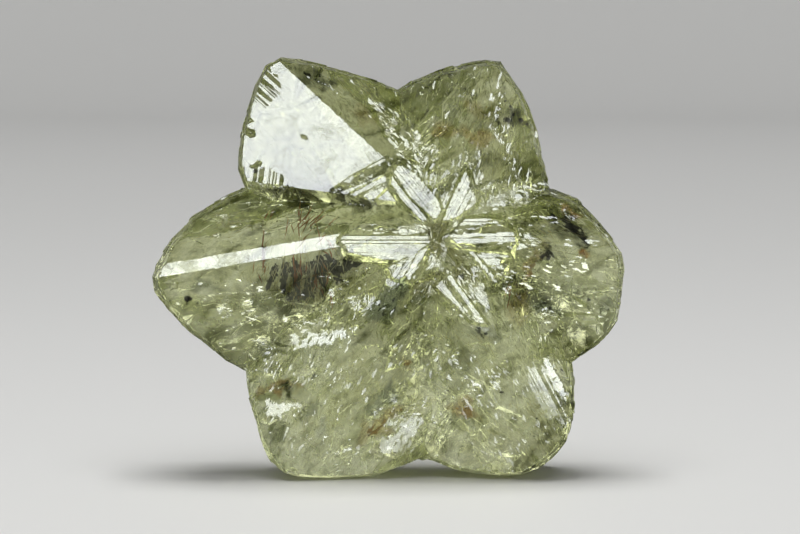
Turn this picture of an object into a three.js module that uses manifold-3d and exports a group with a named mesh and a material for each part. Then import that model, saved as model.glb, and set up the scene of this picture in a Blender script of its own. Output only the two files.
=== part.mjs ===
// A chrysoberyl sixling: six crystals twinned about one shared axis, grown together as one star-shaped
// stone.
//
// The stone is laid out in its own plane. x runs to the right, w up the plane, and h out of it, towards
// the front. The shared twin axis is h, so the pinacoid faces are the ones of constant h. The whole stone
// then leans back a little on its two lower lobes, which have a flat under them where it stands.
// Millimetres and degrees, +Z up.

import * as THREE from "three";
import { ConvexGeometry } from "three/addons/geometries/ConvexGeometry.js";
import { mergeVertices } from "three/addons/utils/BufferGeometryUtils.js";
import Module from "manifold-3d";

const wasm = await Module();
wasm.setup();

// Driving dimensions.
const LEAN = 4; // how far the twin plane leans back from upright
const FOOT_CUT = 0.4; // how much of the lower lobes the flat under them takes off
const STAR = { x: 3.8, w: 18.3 }; // middle of the star on the front
const BACK = { x: 2.6, w: 17.2 }; // middle of the one on the back
const SEED = 7; // where the small irregular forms start their sequence

const rad = THREE.MathUtils.degToRad;
const tan = (degrees) => Math.tan(rad(degrees));

// A repeatable sequence of numbers from 0 to 1.
function sequence(seed) {
  let state = seed;
  return () => {
    state = (state * 1664525 + 1013904223) % 4294967296;
    return state / 4294967296;
  };
}
const random = sequence(SEED);
const between = (low, high) => low + (high - low) * random();

// A unit vector in the stone's plane, and the one to its left.
const along = (heading) => [Math.cos(rad(heading)), Math.sin(rad(heading))];
const leftOf = (heading) => along(heading + 90);
const step = ([x, w], heading, forward, left = 0) => {
  const [ax, aw] = along(heading);
  return [x + forward * ax - left * aw, w + forward * aw + left * ax];
};

// A half-space is [a, b, c, d]: the points with a x + b w + c h <= d.

// The face through a point [x, w, h] that falls by `fall` degrees along the heading and by `pitch`
// degrees to its left, or to its right where pitch is below 0. side is 1 for the front of the stone and
// -1 for the back.
function slope(at, heading, fall, pitch, side = 1) {
  const [ax, aw] = along(heading);
  const [lx, lw] = leftOf(heading);
  const gx = tan(fall) * ax + tan(pitch) * lx;
  const gw = tan(fall) * aw + tan(pitch) * lw;
  return [gx, gw, side, gx * at[0] + gw * at[1] + at[2]];
}

// The pinacoid face at a level, on the front or the back.
const level = (h, side = 1) => [0, 0, side, h];

// The faces that stand round a convex outline, given anticlockwise. They lean in by `front` degrees above
// the girdle and by `back` degrees below it.
function wall(outline, girdle, front, back) {
  return outline.flatMap(([x, w], i) => {
    const [x2, w2] = outline[(i + 1) % outline.length];
    const length = Math.hypot(x2 - x, w2 - w);
    const [nx, nw] = [(w2 - w) / length, (x - x2) / length];
    const reach = nx * x + nw * w;
    return [
      [nx, nw, tan(front), reach + tan(front) * girdle],
      [nx, nw, -tan(back), reach - tan(back) * girdle],
    ];
  });
}

// The corners of the convex body that all the half-spaces share.
function cornersOf(planes) {
  const units = planes.map(([a, b, c, d]) => {
    const size = Math.hypot(a, b, c);
    return new THREE.Plane(new THREE.Vector3(a, b, c).divideScalar(size), -d / size);
  });
  const corners = [];
  const across = new THREE.Vector3();
  units.forEach((p, i) =>
    units.slice(i + 1).forEach((q, j) => {
      across.crossVectors(p.normal, q.normal);
      const edge = across.clone();
      units.slice(i + j + 2).forEach((r) => {
        const volume = edge.dot(r.normal);
        if (Math.abs(volume) < 1e-7) return;
        const corner = new THREE.Vector3()
          .addScaledVector(new THREE.Vector3().crossVectors(q.normal, r.normal), -p.constant)
          .addScaledVector(new THREE.Vector3().crossVectors(r.normal, p.normal), -q.constant)
          .addScaledVector(edge, -r.constant)
          .divideScalar(volume);
        const inside = units.every((u) => u.distanceToPoint(corner) < 1e-5);
        if (inside && !corners.some((c) => c.distanceTo(corner) < 1e-4)) corners.push(corner);
      });
    }),
  );
  return corners;
}

// A closed geometry as a solid that can be joined and cut.
function solidOf(geometry) {
  const bare = geometry.clone();
  bare.deleteAttribute("normal");
  bare.deleteAttribute("uv");
  const merged = mergeVertices(bare, 1e-4);
  return new wasm.Manifold(
    new wasm.Mesh({
      numProp: 3,
      vertProperties: merged.attributes.position.array,
      triVerts: new Uint32Array(merged.index.array),
    }),
  );
}

const crystal = (planes) => solidOf(new ConvexGeometry(cornersOf(planes)));
const joined = (solids) => solids.reduce((a, b) => a.add(b));

// How high a face stands at a place in the plane, out from the middle of the stone on its own side.
const heightOn = ([a, b, c, d], [x, w]) => (d - a * x - b * w) / Math.abs(c);

// The same face lifted by `rise` at a place, and tipped by two slopes along x and w.
function tipped(face, at, rise, gx = 0, gw = 0) {
  const [a, b] = [face[0] + gx, face[1] + gw];
  return [a, b, face[2], a * at[0] + b * at[1] + heightOn(face, at) + rise];
}

// A low block on the stone: an anticlockwise outline at level h, a top face, and sides that flare out by
// `flare` degrees on their way down. With a flare below 0 the sides close in, which makes the cutter for
// a pit. `limits` are more half-spaces that trim it.
function block(outline, top, h, side = 1, flare = 40, depth = 1.2, limits = []) {
  const sides = outline.map(([x, w], i) => {
    const [x2, w2] = outline[(i + 1) % outline.length];
    const length = Math.hypot(x2 - x, w2 - w);
    const [nx, nw] = [(w2 - w) / length, (x - x2) / length];
    return [nx, nw, side * tan(flare), nx * x + nw * w + tan(flare) * h];
  });
  return crystal([...sides, top, [0, 0, -side, depth - h], ...limits]);
}

// An anticlockwise outline round a place: long along the heading, with five uneven corners.
function lozenge(at, heading, length, width) {
  const corners = [
    [0.5, between(-0.2, 0.2)],
    [between(0.05, 0.3), 0.5],
    [-0.5, between(0, 0.3)],
    [between(-0.4, -0.2), -0.5],
    [between(0.1, 0.35), -0.45],
  ];
  return corners.map(([f, l]) => step(at, heading, f * length, l * width));
}

// The lobes. Each has an anticlockwise outline in the stone's plane and a ridge on the front and on the
// back. A ridge starts at [x, w, h], heads outwards, falls by some degrees, and has a face pitched to its
// left and right. Nearer the middle of the star each ridge is capped by a flatter one.
const LOBES = {
  west: {
    outline: [
      [-10.7, 8.1], [4.4, 10.5], [6.5, 20.0], [2.0, 23.2], [-6.7, 23.2], [-10.7, 22.3], [-12.7, 21.4],
      [-14.8, 20.1], [-16.6, 18.2], [-17.75, 16.3], [-18.05, 15.35], [-17.8, 14.2], [-16.8, 12.8],
      [-15.2, 11.2], [-12.3, 8.9],
    ],
    front: {
      from: [-4.4, 18.1, 6.5], heading: 189.7, fall: 3, left: 27, right: 36, cap: 1.2, strip: 6.22,
    },
    back: { from: [-3.0, 17.0, 5.9], heading: 186, fall: 7, left: 30, right: 27, cap: 4 },
    girdle: -0.2,
    reach: 21,
  },
  northeast: {
    outline: [
      [0.6, 29.55], [0.0, 24.0], [1.5, 17.6], [5.0, 15.8], [9.2, 19.0], [11.9, 21.3], [12.4, 22.2],
      [11.4, 26.5], [10.8, 28.2], [10.3, 29.4], [9.4, 30.8], [8.65, 31.75], [7.6, 31.95], [6.3, 31.8],
      [3.8, 31.1], [1.8, 30.35],
    ],
    front: { from: [6.1, 24.1, 6.6], heading: 75.5, fall: 14.5, left: 21, right: 30, cap: 4 },
    back: { from: [5.6, 21.8, 5.8], heading: 72, fall: 11, left: 29, right: 26, cap: 4 },
    girdle: 0.1,
    reach: 13,
  },
  east: {
    outline: [
      [12.3, 22.2], [8.0, 22.4], [2.0, 20.5], [2.0, 14.6], [7.0, 9.0], [14.0, 8.6], [15.9, 9.95],
      [16.95, 10.9], [17.6, 12.0], [18.0, 14.2], [18.15, 15.8], [17.95, 17.2], [17.3, 18.25],
      [16.2, 19.6], [14.5, 21.3],
    ],
    front: { from: [9.7, 18.4, 6.6], heading: -11.3, fall: 15, left: 37, right: 18, cap: 4 },
    back: { from: [7.0, 17.2, 5.9], heading: -5, fall: 12, left: 28, right: 31, cap: 4 },
    girdle: -0.3,
    reach: 13.5,
  },
  southeast: {
    outline: [
      [14.1, 9.0], [13.4, 12.2], [7.5, 18.6], [3.7, 19.0], [0.3, 13.4], [0.4, 6.5], [2.8, 1.4],
      [5.4, 0.45], [8.6, -0.1], [10.3, 0.0], [11.95, 0.85], [13.1, 1.85], [13.75, 2.75], [14.1, 3.8],
      [14.35, 5.4], [14.4, 7.3],
    ],
    front: { from: [7.6, 11.9, 6.5], heading: -60.5, fall: 11, left: 34, right: 18, cap: 3 },
    back: { from: [6.2, 12.0, 5.7], heading: -64, fall: 3, left: 25, right: 21, cap: 2.5 },
    girdle: -0.9,
    reach: 17.5,
  },
  southwest: {
    outline: [
      [3.1, 1.5], [5.6, 7.3], [5.4, 18.0], [1.5, 18.5], [-8.2, 11.6], [-10.8, 8.3], [-10.7, 6.9],
      [-10.2, 4.8], [-9.7, 2.9], [-9.0, 1.4], [-7.95, 0.4], [-6.7, 0.0], [-4.7, -0.15], [-1.1, 0.1],
      [0.7, 0.6],
    ],
    front: { from: [0.3, 14.9, 6.4], heading: 241.6, fall: 8, left: 17.5, right: 23, cap: 4 },
    back: { from: [1.0, 13.5, 5.8], heading: 238, fall: 2, left: 22, right: 24, cap: 2 },
    girdle: 0.6,
    reach: 19,
  },
};

const WALL_FRONT = 9; // how far the faces round the rim lean in, towards the front and the back
const WALL_BACK = 11;
const CAP = { front: 6.7, back: 5.95, pitch: 8 }; // how high the flatter ridges meet, and their pitch

// The faces on one side of a lobe: the two beside its ridge, the two of its cap, and a narrow strip along
// its top.
function roof({ from, heading, fall, left, right, cap, strip }, side) {
  const middle = side > 0 ? [STAR.x, STAR.w, CAP.front] : [BACK.x, BACK.w, CAP.back];
  const faces = [
    slope(from, heading, fall, left, side),
    slope(from, heading, fall, -right, side),
    slope(middle, heading, cap, CAP.pitch, side),
    slope(middle, heading, cap, -CAP.pitch, side),
  ];
  if (strip) faces.push(slope([from[0], from[1], strip], heading, fall, 0, side));
  return faces;
}


// The north-west lobe. Its front is a broad pinacoid face, cut off along one straight edge by a face that
// falls to the upper right, and along its foot by a steep one.
const NORTHWEST = {
  outline: [
    [-10.8, 21.8], [3.5, 15.8], [5.8, 18.5], [5.2, 23.4], [0.9, 29.6], [-0.4, 30.15],
    [-3.4, 31.15], [-6.7, 31.95], [-8.1, 32.15], [-9.3, 31.5], [-10.1, 30.0], [-11.0, 27.0],
    [-11.35, 25.0], [-11.4, 23.6],
  ],
  facet: 5.9,
  edge: { at: [-7.8, 31.3, 5.9], heading: -42.6, pitch: 33 },
  foot: { at: [-6.57, 22.05, 5.9], heading: 172, pitch: 62 },
  cap: { heading: 130, fall: 4, pitch: 8 },
  back: { from: [0.8, 21.0, 5.9], heading: 130, fall: 9, left: 24, right: 30, cap: 4 },
  girdle: 0.4,
  reach: 15,
};

// Each lobe as the faces of its rim and the faces of its front and back.
const bodies = Object.entries(LOBES).map(([name, { outline, front, back, girdle }]) => ({
  name,
  rim: wall(outline, girdle, WALL_FRONT, WALL_BACK),
  faces: [...roof(front, 1), ...roof(back, -1)],
}));
bodies.push({
  name: "northwest",
  rim: wall(NORTHWEST.outline, NORTHWEST.girdle, 6, WALL_BACK),
  faces: [
    level(NORTHWEST.facet),
    slope(NORTHWEST.edge.at, NORTHWEST.edge.heading, 0, NORTHWEST.edge.pitch),
    slope(NORTHWEST.foot.at, NORTHWEST.foot.heading, 0, NORTHWEST.foot.pitch),
    ...roof(NORTHWEST.back, -1),
  ],
});
const lobes = bodies.map(({ rim, faces }) => crystal([...rim, ...faces]));

// The face of the stone at a place on one side, how high it stands there, and the lobe it belongs to with
// its rim, or null where the place is outside the stone.
function ground(place, side) {
  const lowest = (a, b) => (heightOn(b, place) < heightOn(a, place) ? b : a);
  const found = bodies
    .map(({ name, rim, faces }) => {
      const all = [...rim, ...faces];
      const face = all.filter(([, , c]) => c * side > 0).reduce(lowest);
      const under = all.filter(([, , c]) => c * side < 0).reduce(lowest);
      return { name, face, rim, h: heightOn(face, place), depth: heightOn(under, place) };
    })
    .filter(({ h, depth }) => h > -depth);
  return found.reduce((a, b) => (a && a.h > b.h ? a : b), null);
}

// A block that rises from the face at a place, tipped by so many degrees along its heading and to its
// left.
function rise({ outline, at, heading, lift, fall, side = 1, flare = 40, depth = 1.4, limits = [] }) {
  const { face, rim, h } = ground(at, side);
  const [ax, aw] = along(heading);
  const [lx, lw] = leftOf(heading);
  const [fa, fl] = fall.map(tan);
  const top = tipped(face, at, lift, fa * ax + fl * lx, fa * aw + fl * lw);
  const near = rim.filter(([a, b, c, d]) => d - a * at[0] - b * at[1] - c * side * h < 7);
  return block(outline, top, h + lift, side, flare, depth, [...near, ...limits]);
}

// Puts an outline in anticlockwise order.
function anticlockwise(outline) {
  const area = outline.reduce((sum, [x, w], i) => {
    const [x2, w2] = outline[(i + 1) % outline.length];
    return sum + x * w2 - x2 * w;
  }, 0);
  return area > 0 ? outline : [...outline].reverse();
}

// How far a convex outline reaches, back and ahead along a heading, on the line that is `offset` to its
// left.
function span(outline, heading, offset) {
  const [ax, aw] = along(heading);
  const [lx, lw] = leftOf(heading);
  const crossings = outline.flatMap((p, i) => {
    const q = outline[(i + 1) % outline.length];
    const [dp, dq] = [lx * p[0] + lw * p[1] - offset, lx * q[0] + lw * q[1] - offset];
    if (dp * dq > 0 || dp === dq) return [];
    const t = dp / (dp - dq);
    return [ax * (p[0] + t * (q[0] - p[0])) + aw * (p[1] + t * (q[1] - p[1]))];
  });
  return [Math.min(...crossings), Math.max(...crossings)];
}

// A striated pinacoid face: a bundle of narrow strips along one heading inside an outline. Most strips
// are level, and a share of them are tipped to one side.
function striated(face) {
  const { outline, heading, h, side = 1, pitch = 0.42, stagger = 0.5 } = face;
  const { drop = 0.07, tip = 11, share = 0.3 } = face;
  const [ax, aw] = along(heading);
  const [lx, lw] = leftOf(heading);
  const across = outline.map(([x, w]) => lx * x + lw * w);
  const high = Math.max(...across) - 0.06;
  const strips = [];
  let at = Math.min(...across) + 0.03;
  while (at < high - 0.05) {
    const width = Math.min(pitch * between(0.6, 1.6), high - at);
    const [near, far] = [at, at + width - 0.02];
    const [near0, near1] = span(outline, heading, near);
    const [far0, far1] = span(outline, heading, far);
    const cut = Math.min(between(0, stagger), 0.4 * (near1 - near0), 0.4 * (far1 - far0));
    const corners = [[near0, near], [near1 - cut, near], [far1 - cut, far], [far0, far]];
    const strip = corners.map(([ahead, left]) => step([0, 0], heading, ahead, left));
    const fall = random() < share ? tan(tip) * (random() < 0.5 ? 1 : -1) : 0;
    const middle = step([0, 0], heading, near0, (near + far) / 2);
    const top = tipped(level(h - between(0, drop), side), middle, 0, fall * lx, fall * lw);
    const ends = [
      [ax, aw, 0, Math.max(near1, far1) - cut + 0.25],
      [-ax, -aw, 0, 0.25 - Math.min(near0, far0)],
    ];
    strips.push(block(strip, top, h, side, 34, 0.9, ends));
    at += width;
  }
  return strips;
}

// The arms of the front star, round from the left one, then the terraces beside the north-west facet and
// the patch on the south-east lobe.
const ARMS = [
  {
    heading: 180, h: 6.74, tip: 5, share: 0.12, pitch: 0.36,
    outline: [
      [-4.0, 18.2], [-2.8, 17.06], [0.83, 16.6], [1.81, 17.06], [3.37, 18.1], [3.37, 18.45],
      [-3.7, 18.45],
    ],
  },
  {
    heading: 180, h: 6.5, tip: -17, share: 1, pitch: 0.42,
    outline: [[-3.6, 18.4], [3.4, 18.4], [2.7, 19.4], [0.83, 19.8], [-1.41, 19.64]],
  },
  {
    heading: 123, h: 6.76, share: 0.1,
    outline: [
      [0.3, 23.2], [3.17, 19.54], [4.0, 19.79], [3.95, 20.96], [1.61, 23.79], [0.83, 24.08],
      [0.39, 23.79],
    ],
  },
  { heading: 123, h: 6.6, share: 0.4, outline: [[0.25, 22.3], [2.5, 19.5], [2.95, 19.7], [0.3, 23.2]] },
  {
    heading: 62, h: 6.76, share: 0.12,
    outline: [
      [4.05, 19.69], [4.25, 19.45], [5.32, 19.98], [6.44, 20.76], [6.69, 21.15], [6.44, 22.42],
      [6.05, 23.84],
    ],
  },
  {
    heading: 2, h: 6.72, share: 0.45,
    outline: [
      [4.5, 18.3], [6.3, 17.3], [9.4, 17.2], [9.66, 18.03], [9.71, 18.91], [8.25, 19.74],
      [5.91, 19.79],
    ],
  },
  { heading: 2, h: 6.5, share: 0.5, outline: [[6.6, 17.2], [7.66, 16.18], [8.6, 15.6], [9.3, 17.2]] },
  {
    heading: -54, h: 6.66, share: 0.25,
    outline: [[3.66, 14.71], [5.91, 12.27], [6.79, 11.98], [7.52, 11.88], [4.78, 15.64], [3.76, 15.01]],
  },
  {
    heading: -50, h: 6.55, share: 0.2, pitch: 0.2,
    outline: [[6.0, 17.4], [8.1, 14.9], [8.35, 15.1], [6.4, 17.4]],
  },
  {
    heading: 240, h: 6.68, share: 0.45,
    outline: [[0.34, 15.25], [1.81, 15.1], [3.13, 17.69], [1.91, 17.15], [0.1, 16.08]],
  },
  { heading: 240, h: 6.6, share: 0.5, outline: [[2.5, 15.3], [3.2, 15.35], [3.95, 16.18], [3.5, 17.0]] },
  {
    heading: 22, h: 6.05, share: 0.1, stagger: 0.1,
    outline: [
      [-4.16, 22.04], [-3.11, 21.56], [-0.05, 23.01], [0.11, 23.41], [-0.09, 24.38], [-3.67, 22.37],
    ],
  },
  {
    heading: 22, h: 6.15, share: 0.2, stagger: 0.1,
    outline: [[-1.98, 21.48], [-1.1, 21.12], [0.27, 22.04], [0.11, 22.53]],
  },
  {
    heading: -60, h: 4.2, share: 0.3, drop: 0.12, pitch: 0.32,
    outline: [[11.0, 9.18], [11.25, 7.65], [12.55, 5.13], [13.6, 4.36], [13.7, 6.35], [12.24, 9.33]],
  },
];
const arms = ARMS.flatMap((arm) => striated({ ...arm, outline: anticlockwise(arm.outline) }));

// The star on the back has six leaf-shaped arms.
const BACK_ARMS = [
  { heading: 186, reach: 7.5, width: 2.6 },
  { heading: 130, reach: 6.2, width: 2.2 },
  { heading: 72, reach: 5.4, width: 1.8 },
  { heading: -5, reach: 6.4, width: 2.4 },
  { heading: -64, reach: 8.2, width: 2.2 },
  { heading: 238, reach: 7.0, width: 2.8 },
];
const backArms = BACK_ARMS.flatMap(({ heading, reach, width }) => {
  const place = [BACK.x, BACK.w];
  const leaf = [
    step(place, heading, 0.7),
    step(place, heading, 0.45 * reach, -0.5 * width),
    step(place, heading, 0.85 * reach, -0.3 * width),
    step(place, heading, reach, 0.1 * width),
    step(place, heading, 0.5 * reach, 0.5 * width),
  ];
  return striated({ outline: leaf, heading, h: 5.98, side: -1, pitch: 0.7, stagger: 1.2, share: 0.3 });
});

// Low growth hillocks on the faces beside the ridges.
function hillocks(name, side, count, size, lift, tilt) {
  const lobe = LOBES[name] ?? NORTHWEST;
  const { from, heading } = side > 0 ? lobe.front : lobe.back;
  const middle = side > 0 ? STAR : BACK;
  const start = Math.hypot(from[0] - middle.x, from[1] - middle.w);
  return Array.from({ length: count }, () => {
    let at;
    do {
      const ahead = between(0.36, 0.9) * lobe.reach;
      const aside = between(1.1, 1.2 + 0.44 * ahead) * (random() < 0.5 ? 1 : -1);
      at = step(from, heading, ahead - start, aside);
    } while (ground(at, side)?.name !== name);
    const length = size * between(0.7, 1.5);
    const bearing = heading + between(-14, 14);
    return rise({
      outline: lozenge(at, bearing, length, length * between(0.25, 0.45)),
      at,
      heading: bearing,
      lift: lift * between(0.4, 1.1),
      fall: [between(-tilt, tilt), between(-tilt, tilt)],
      side,
      flare: between(20, 50),
    });
  });
}
const hills = [
  ...hillocks("west", 1, 6, 3.6, 0.2, 5),
  ...hillocks("northeast", 1, 5, 3.0, 0.22, 6),
  ...hillocks("east", 1, 6, 3.0, 0.24, 7),
  ...hillocks("southeast", 1, 7, 3.2, 0.26, 8),
  ...hillocks("southwest", 1, 8, 3.6, 0.28, 8),
  ...hillocks("west", -1, 4, 4.6, 0.3, 6),
  ...hillocks("northeast", -1, 3, 4.0, 0.3, 6),
  ...hillocks("east", -1, 3, 4.0, 0.3, 6),
  ...hillocks("southeast", -1, 4, 4.4, 0.3, 6),
  ...hillocks("southwest", -1, 4, 4.6, 0.3, 6),
  ...hillocks("northwest", -1, 3, 4.2, 0.3, 6),
];

// Single facets on the front: a place, the heading and size of each, how far it rises at its middle, and
// how it is tipped along its heading and to its left, in degrees.
const FACETS = [
  { at: [-5.4, 11.6], heading: 25, size: [3.8, 1.5], lift: 0.3, fall: [0, -20] },
  { at: [-2.2, 13.0], heading: 35, size: [2.2, 0.9], lift: 0.25, fall: [-3, -18] },
  { at: [-0.9, 14.4], heading: 30, size: [1.6, 0.8], lift: 0.2, fall: [-3, -10] },
  { at: [-8.0, 5.6], heading: 12, size: [3.2, 1.3], lift: 0.3, fall: [4, -9] },
  { at: [-8.3, 9.0], heading: 40, size: [2.2, 1.0], lift: 0.25, fall: [3, -8] },
  { at: [2.4, 5.2], heading: 55, size: [2.6, 1.5], lift: 0.35, fall: [3, 8] },
  { at: [0.6, 3.2], heading: 40, size: [3.4, 1.7], lift: 0.35, fall: [2, 8] },
  { at: [1.0, 6.9], heading: 58, size: [2.2, 0.8], lift: 0.25, fall: [3, 7] },
  { at: [11.8, 13.2], heading: 10, size: [2.2, 1.0], lift: 0.25, fall: [-3, 9] },
  { at: [11.9, 11.8], heading: 8, size: [1.9, 1.1], lift: 0.3, fall: [-6, 12] },
  { at: [16.0, 13.2], heading: -70, size: [1.7, 0.8], lift: 0.2, fall: [-5, -6] },
  { at: [5.8, 5.4], heading: -55, size: [2.8, 1.1], lift: 0.25, fall: [-3, 6] },
  { at: [9.6, 7.0], heading: -62, size: [2.4, 0.9], lift: 0.2, fall: [-4, 4] },
  { at: [8.6, 3.0], heading: -35, size: [2.6, 1.0], lift: 0.25, fall: [4, 6] },
];
const facets = FACETS.map(({ at, heading, size, lift, fall }) =>
  rise({ outline: lozenge(at, heading, ...size), at, heading, lift, fall, flare: 42 }),
);

// Rows of small wedges that run along a line and point across it, as growth leaves them beside a twin
// boundary.
function wedges({ from, to, count, heading, size, lift, fall }) {
  return Array.from({ length: count }, (_, i) => {
    const t = (i + between(0.2, 0.8)) / count;
    const at = [from[0] + t * (to[0] - from[0]), from[1] + t * (to[1] - from[1])];
    const reach = size[0] * between(0.6, 1.3);
    const turn = heading + between(-9, 9);
    const width = size[1] * between(0.7, 1.3);
    const corners = [[0.5 * reach, 0], [-0.5 * reach, 0.5 * width], [-0.5 * reach, -0.5 * width]];
    return rise({
      outline: corners.map(([f, l]) => step(at, turn, f, l)),
      at,
      heading: turn,
      lift: lift * between(0.7, 1.2),
      fall: [fall, between(-12, 12)],
      flare: 36,
      depth: 1.3,
      limits: [[...along(turn), 0, along(turn)[0] * at[0] + along(turn)[1] * at[1] + 0.9 * reach]],
    });
  });
}
const WEDGES = [
  // the flutes under the north-west facet
  {
    from: [-10.6, 22.1], to: [-6.6, 21.75], count: 7,
    heading: -88, size: [0.9, 0.42], lift: 0.2, fall: -30,
  },
  // the teeth on the north-east lobe, along the valley to the east one
  { from: [6.6, 21.6], to: [11.4, 22.4], count: 9, heading: -78, size: [0.9, 0.36], lift: 0.22, fall: 6 },
  // the chevrons up the valley between the two upper lobes, on its left and its right
  { from: [2.9, 22.6], to: [1.0, 27.9], count: 6, heading: -52, size: [1.4, 0.4], lift: 0.2, fall: 0 },
  { from: [4.3, 22.6], to: [2.9, 28.0], count: 6, heading: 226, size: [1.4, 0.4], lift: 0.2, fall: 0 },
  // the chevrons down the valley between the two lower lobes
  { from: [2.2, 11.4], to: [2.0, 3.4], count: 5, heading: 60, size: [1.4, 0.4], lift: 0.2, fall: 0 },
  { from: [4.4, 11.0], to: [3.9, 3.2], count: 5, heading: 120, size: [1.4, 0.4], lift: 0.2, fall: 0 },
];
const teeth = WEDGES.flatMap(wedges);

// Etch pits and growth hollows.
const PITS = [
  { at: [-6.2, 25.9], heading: -30, size: [0.75, 0.4], depth: 0.3 },
  { at: [-10.2, 26.2], heading: -40, size: [1.0, 0.7], depth: 0.5 },
  { at: [-9.8, 23.8], heading: 20, size: [1.2, 0.4], depth: 0.5 },
  { at: [-8.9, 29.8], heading: -38, size: [1.9, 0.3], depth: 0.12 },
  { at: [-9.3, 29.1], heading: -38, size: [1.6, 0.3], depth: 0.12 },
  { at: [3.7, 18.7], heading: 70, size: [1.6, 1.1], depth: 0.16 },
  { at: [5.3, 17.0], heading: -52, size: [2.4, 0.9], depth: 0.18 },
  { at: [3.5, 15.6], heading: 10, size: [1.5, 0.6], depth: 0.18 },
  { at: [0.4, 13.6], heading: 50, size: [1.9, 1.2], depth: 0.4 },
  { at: [-8.6, 7.1], heading: 18, size: [2.6, 0.6], depth: 0.6 },
  { at: [0.3, 6.0], heading: 35, size: [2.4, 0.5], depth: 0.5 },
  { at: [5.9, 5.9], heading: 70, size: [1.2, 1.4], depth: 0.5 },
  { at: [14.0, 16.0], heading: -20, size: [1.4, 0.5], depth: 0.4 },
  { at: [8.6, 26.2], heading: -60, size: [1.6, 0.4], depth: 0.4 },
];
const pits = PITS.map(({ at, heading, size, depth }) => {
  const { h } = ground(at, 1);
  const [ax, aw] = along(heading + 30).map((v) => v * tan(14));
  const floor = [ax, aw, -1, ax * at[0] + aw * at[1] + depth - h];
  return block(lozenge(at, heading, ...size), level(h + 1.2), h, 1, -50, 2 * depth, [floor]);
});

// Small chips out of the rim: the place on the outline, the heading out of the stone, the size, and the
// depths between which the chip lies.
const CHIPS = [
  { at: [17.75, 13.8], out: -8, size: 0.5, from: 1.0, to: 6 },
  { at: [-11.0, 27.3], out: 168, size: 0.35, from: 2.5, to: 7 },
  { at: [-9.9, 3.6], out: 200, size: 0.4, from: 1.5, to: 6 },
  { at: [-15.6, 11.6], out: 225, size: 0.4, from: 0, to: 5 },
  { at: [12.6, 23.0], out: 10, size: 0.5, from: 1, to: 6 },
  { at: [11.2, 27.4], out: 18, size: 0.35, from: -1, to: 3 },
  { at: [-4.9, 31.7], out: 73, size: 0.4, from: 1, to: 6 },
  { at: [4.9, 31.7], out: 106, size: 0.35, from: -2, to: 3 },
  { at: [-16.2, 18.8], out: 140, size: 0.45, from: -5, to: 0 },
  { at: [16.6, 19.2], out: 45, size: 0.45, from: -6, to: -1 },
  { at: [14.4, 6.1], out: 3, size: 0.35, from: -5, to: 0 },
  { at: [1.9, 0.9], out: 250, size: 0.4, from: -4, to: 2 },
];
const chips = CHIPS.map(({ at, out, size, from, to }) => {
  const corners = [
    step(at, out, -0.6 * size),
    step(at, out, 2 * size, -2 * size),
    step(at, out, 2 * size, 1.6 * size),
  ];
  return block(corners, level(to), (from + to) / 2, 1, -24, (to - from) / 2);
});

// The stone in its own plane.
const stone = joined([...lobes, ...arms, ...backArms, ...hills, ...facets, ...teeth])
  .subtract(joined([...pits, ...chips]));

// The solid as a three.js geometry.
function geometryOf(solid) {
  const { numProp, vertProperties, triVerts } = solid.getMesh();
  const places = new Float32Array((vertProperties.length / numProp) * 3);
  for (let i = 0; i < places.length / 3; i++) {
    places.set(vertProperties.subarray(i * numProp, i * numProp + 3), i * 3);
  }
  return new THREE.BufferGeometry()
    .setAttribute("position", new THREE.BufferAttribute(places, 3))
    .setIndex(new THREE.BufferAttribute(triVerts, 1));
}

// From the stone's plane to the upright frame: h faces -Y, and the stone leans back.
const upright = new THREE.Matrix4().set(1, 0, 0, 0, 0, 0, -1, 0, 0, 1, 0, 0, 0, 0, 0, 1);
const leant = new THREE.Matrix4().makeRotationX(-rad(LEAN)).multiply(upright);
const standing = geometryOf(stone).applyMatrix4(leant);

// The flat it stands on, made by keeping only what is above a level.
const bounds = (geometry) => new THREE.Box3().setFromBufferAttribute(geometry.attributes.position);
const footLevel = bounds(standing).min.z + FOOT_CUT;
const above = new THREE.BoxGeometry(100, 100, 100).translate(0, 0, footLevel + 50);
const footed = geometryOf(solidOf(standing).intersect(solidOf(above)));

// The origin goes to the bottom centre of the bounding box.
const { min, max } = bounds(footed);
footed.translate(-(min.x + max.x) / 2, -(min.y + max.y) / 2, -min.z);

const mesh = new THREE.Mesh(
  footed,
  new THREE.MeshStandardMaterial({ color: 0xb9be86, roughness: 0.12, metalness: 0 }),
);
mesh.name = "crystal";
const part = new THREE.Group();
part.add(mesh);

export default part;
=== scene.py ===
import math

import bmesh
import bpy
import numpy as np
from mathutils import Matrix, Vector
from mathutils.bvhtree import BVHTree
from mathutils.kdtree import KDTree


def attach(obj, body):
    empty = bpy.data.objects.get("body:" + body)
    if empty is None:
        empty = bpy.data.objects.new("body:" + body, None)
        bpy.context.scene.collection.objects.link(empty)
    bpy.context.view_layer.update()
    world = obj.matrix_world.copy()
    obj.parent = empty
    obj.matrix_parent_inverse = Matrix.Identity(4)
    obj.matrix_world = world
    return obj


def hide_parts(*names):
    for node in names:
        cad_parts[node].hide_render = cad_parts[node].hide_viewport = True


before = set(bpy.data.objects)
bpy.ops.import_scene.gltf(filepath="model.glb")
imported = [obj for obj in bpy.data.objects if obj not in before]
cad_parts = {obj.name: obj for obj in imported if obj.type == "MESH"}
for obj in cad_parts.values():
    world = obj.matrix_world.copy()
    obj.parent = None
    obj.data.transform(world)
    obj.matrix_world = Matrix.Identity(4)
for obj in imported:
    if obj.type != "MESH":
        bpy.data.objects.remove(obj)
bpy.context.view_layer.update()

mm = 0.001

# The stone's own frame: x to the right, w up its plane, h out of it to the front, in millimetres.
# It leans back a little, and its origin lies here in the CAD frame.
stone = {
    "origin": (-0.05, -0.8418, -0.2375),
    "lean": math.radians(4),
    "star": (3.8, 18.3),  # middle of the star, in x and w
}


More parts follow.
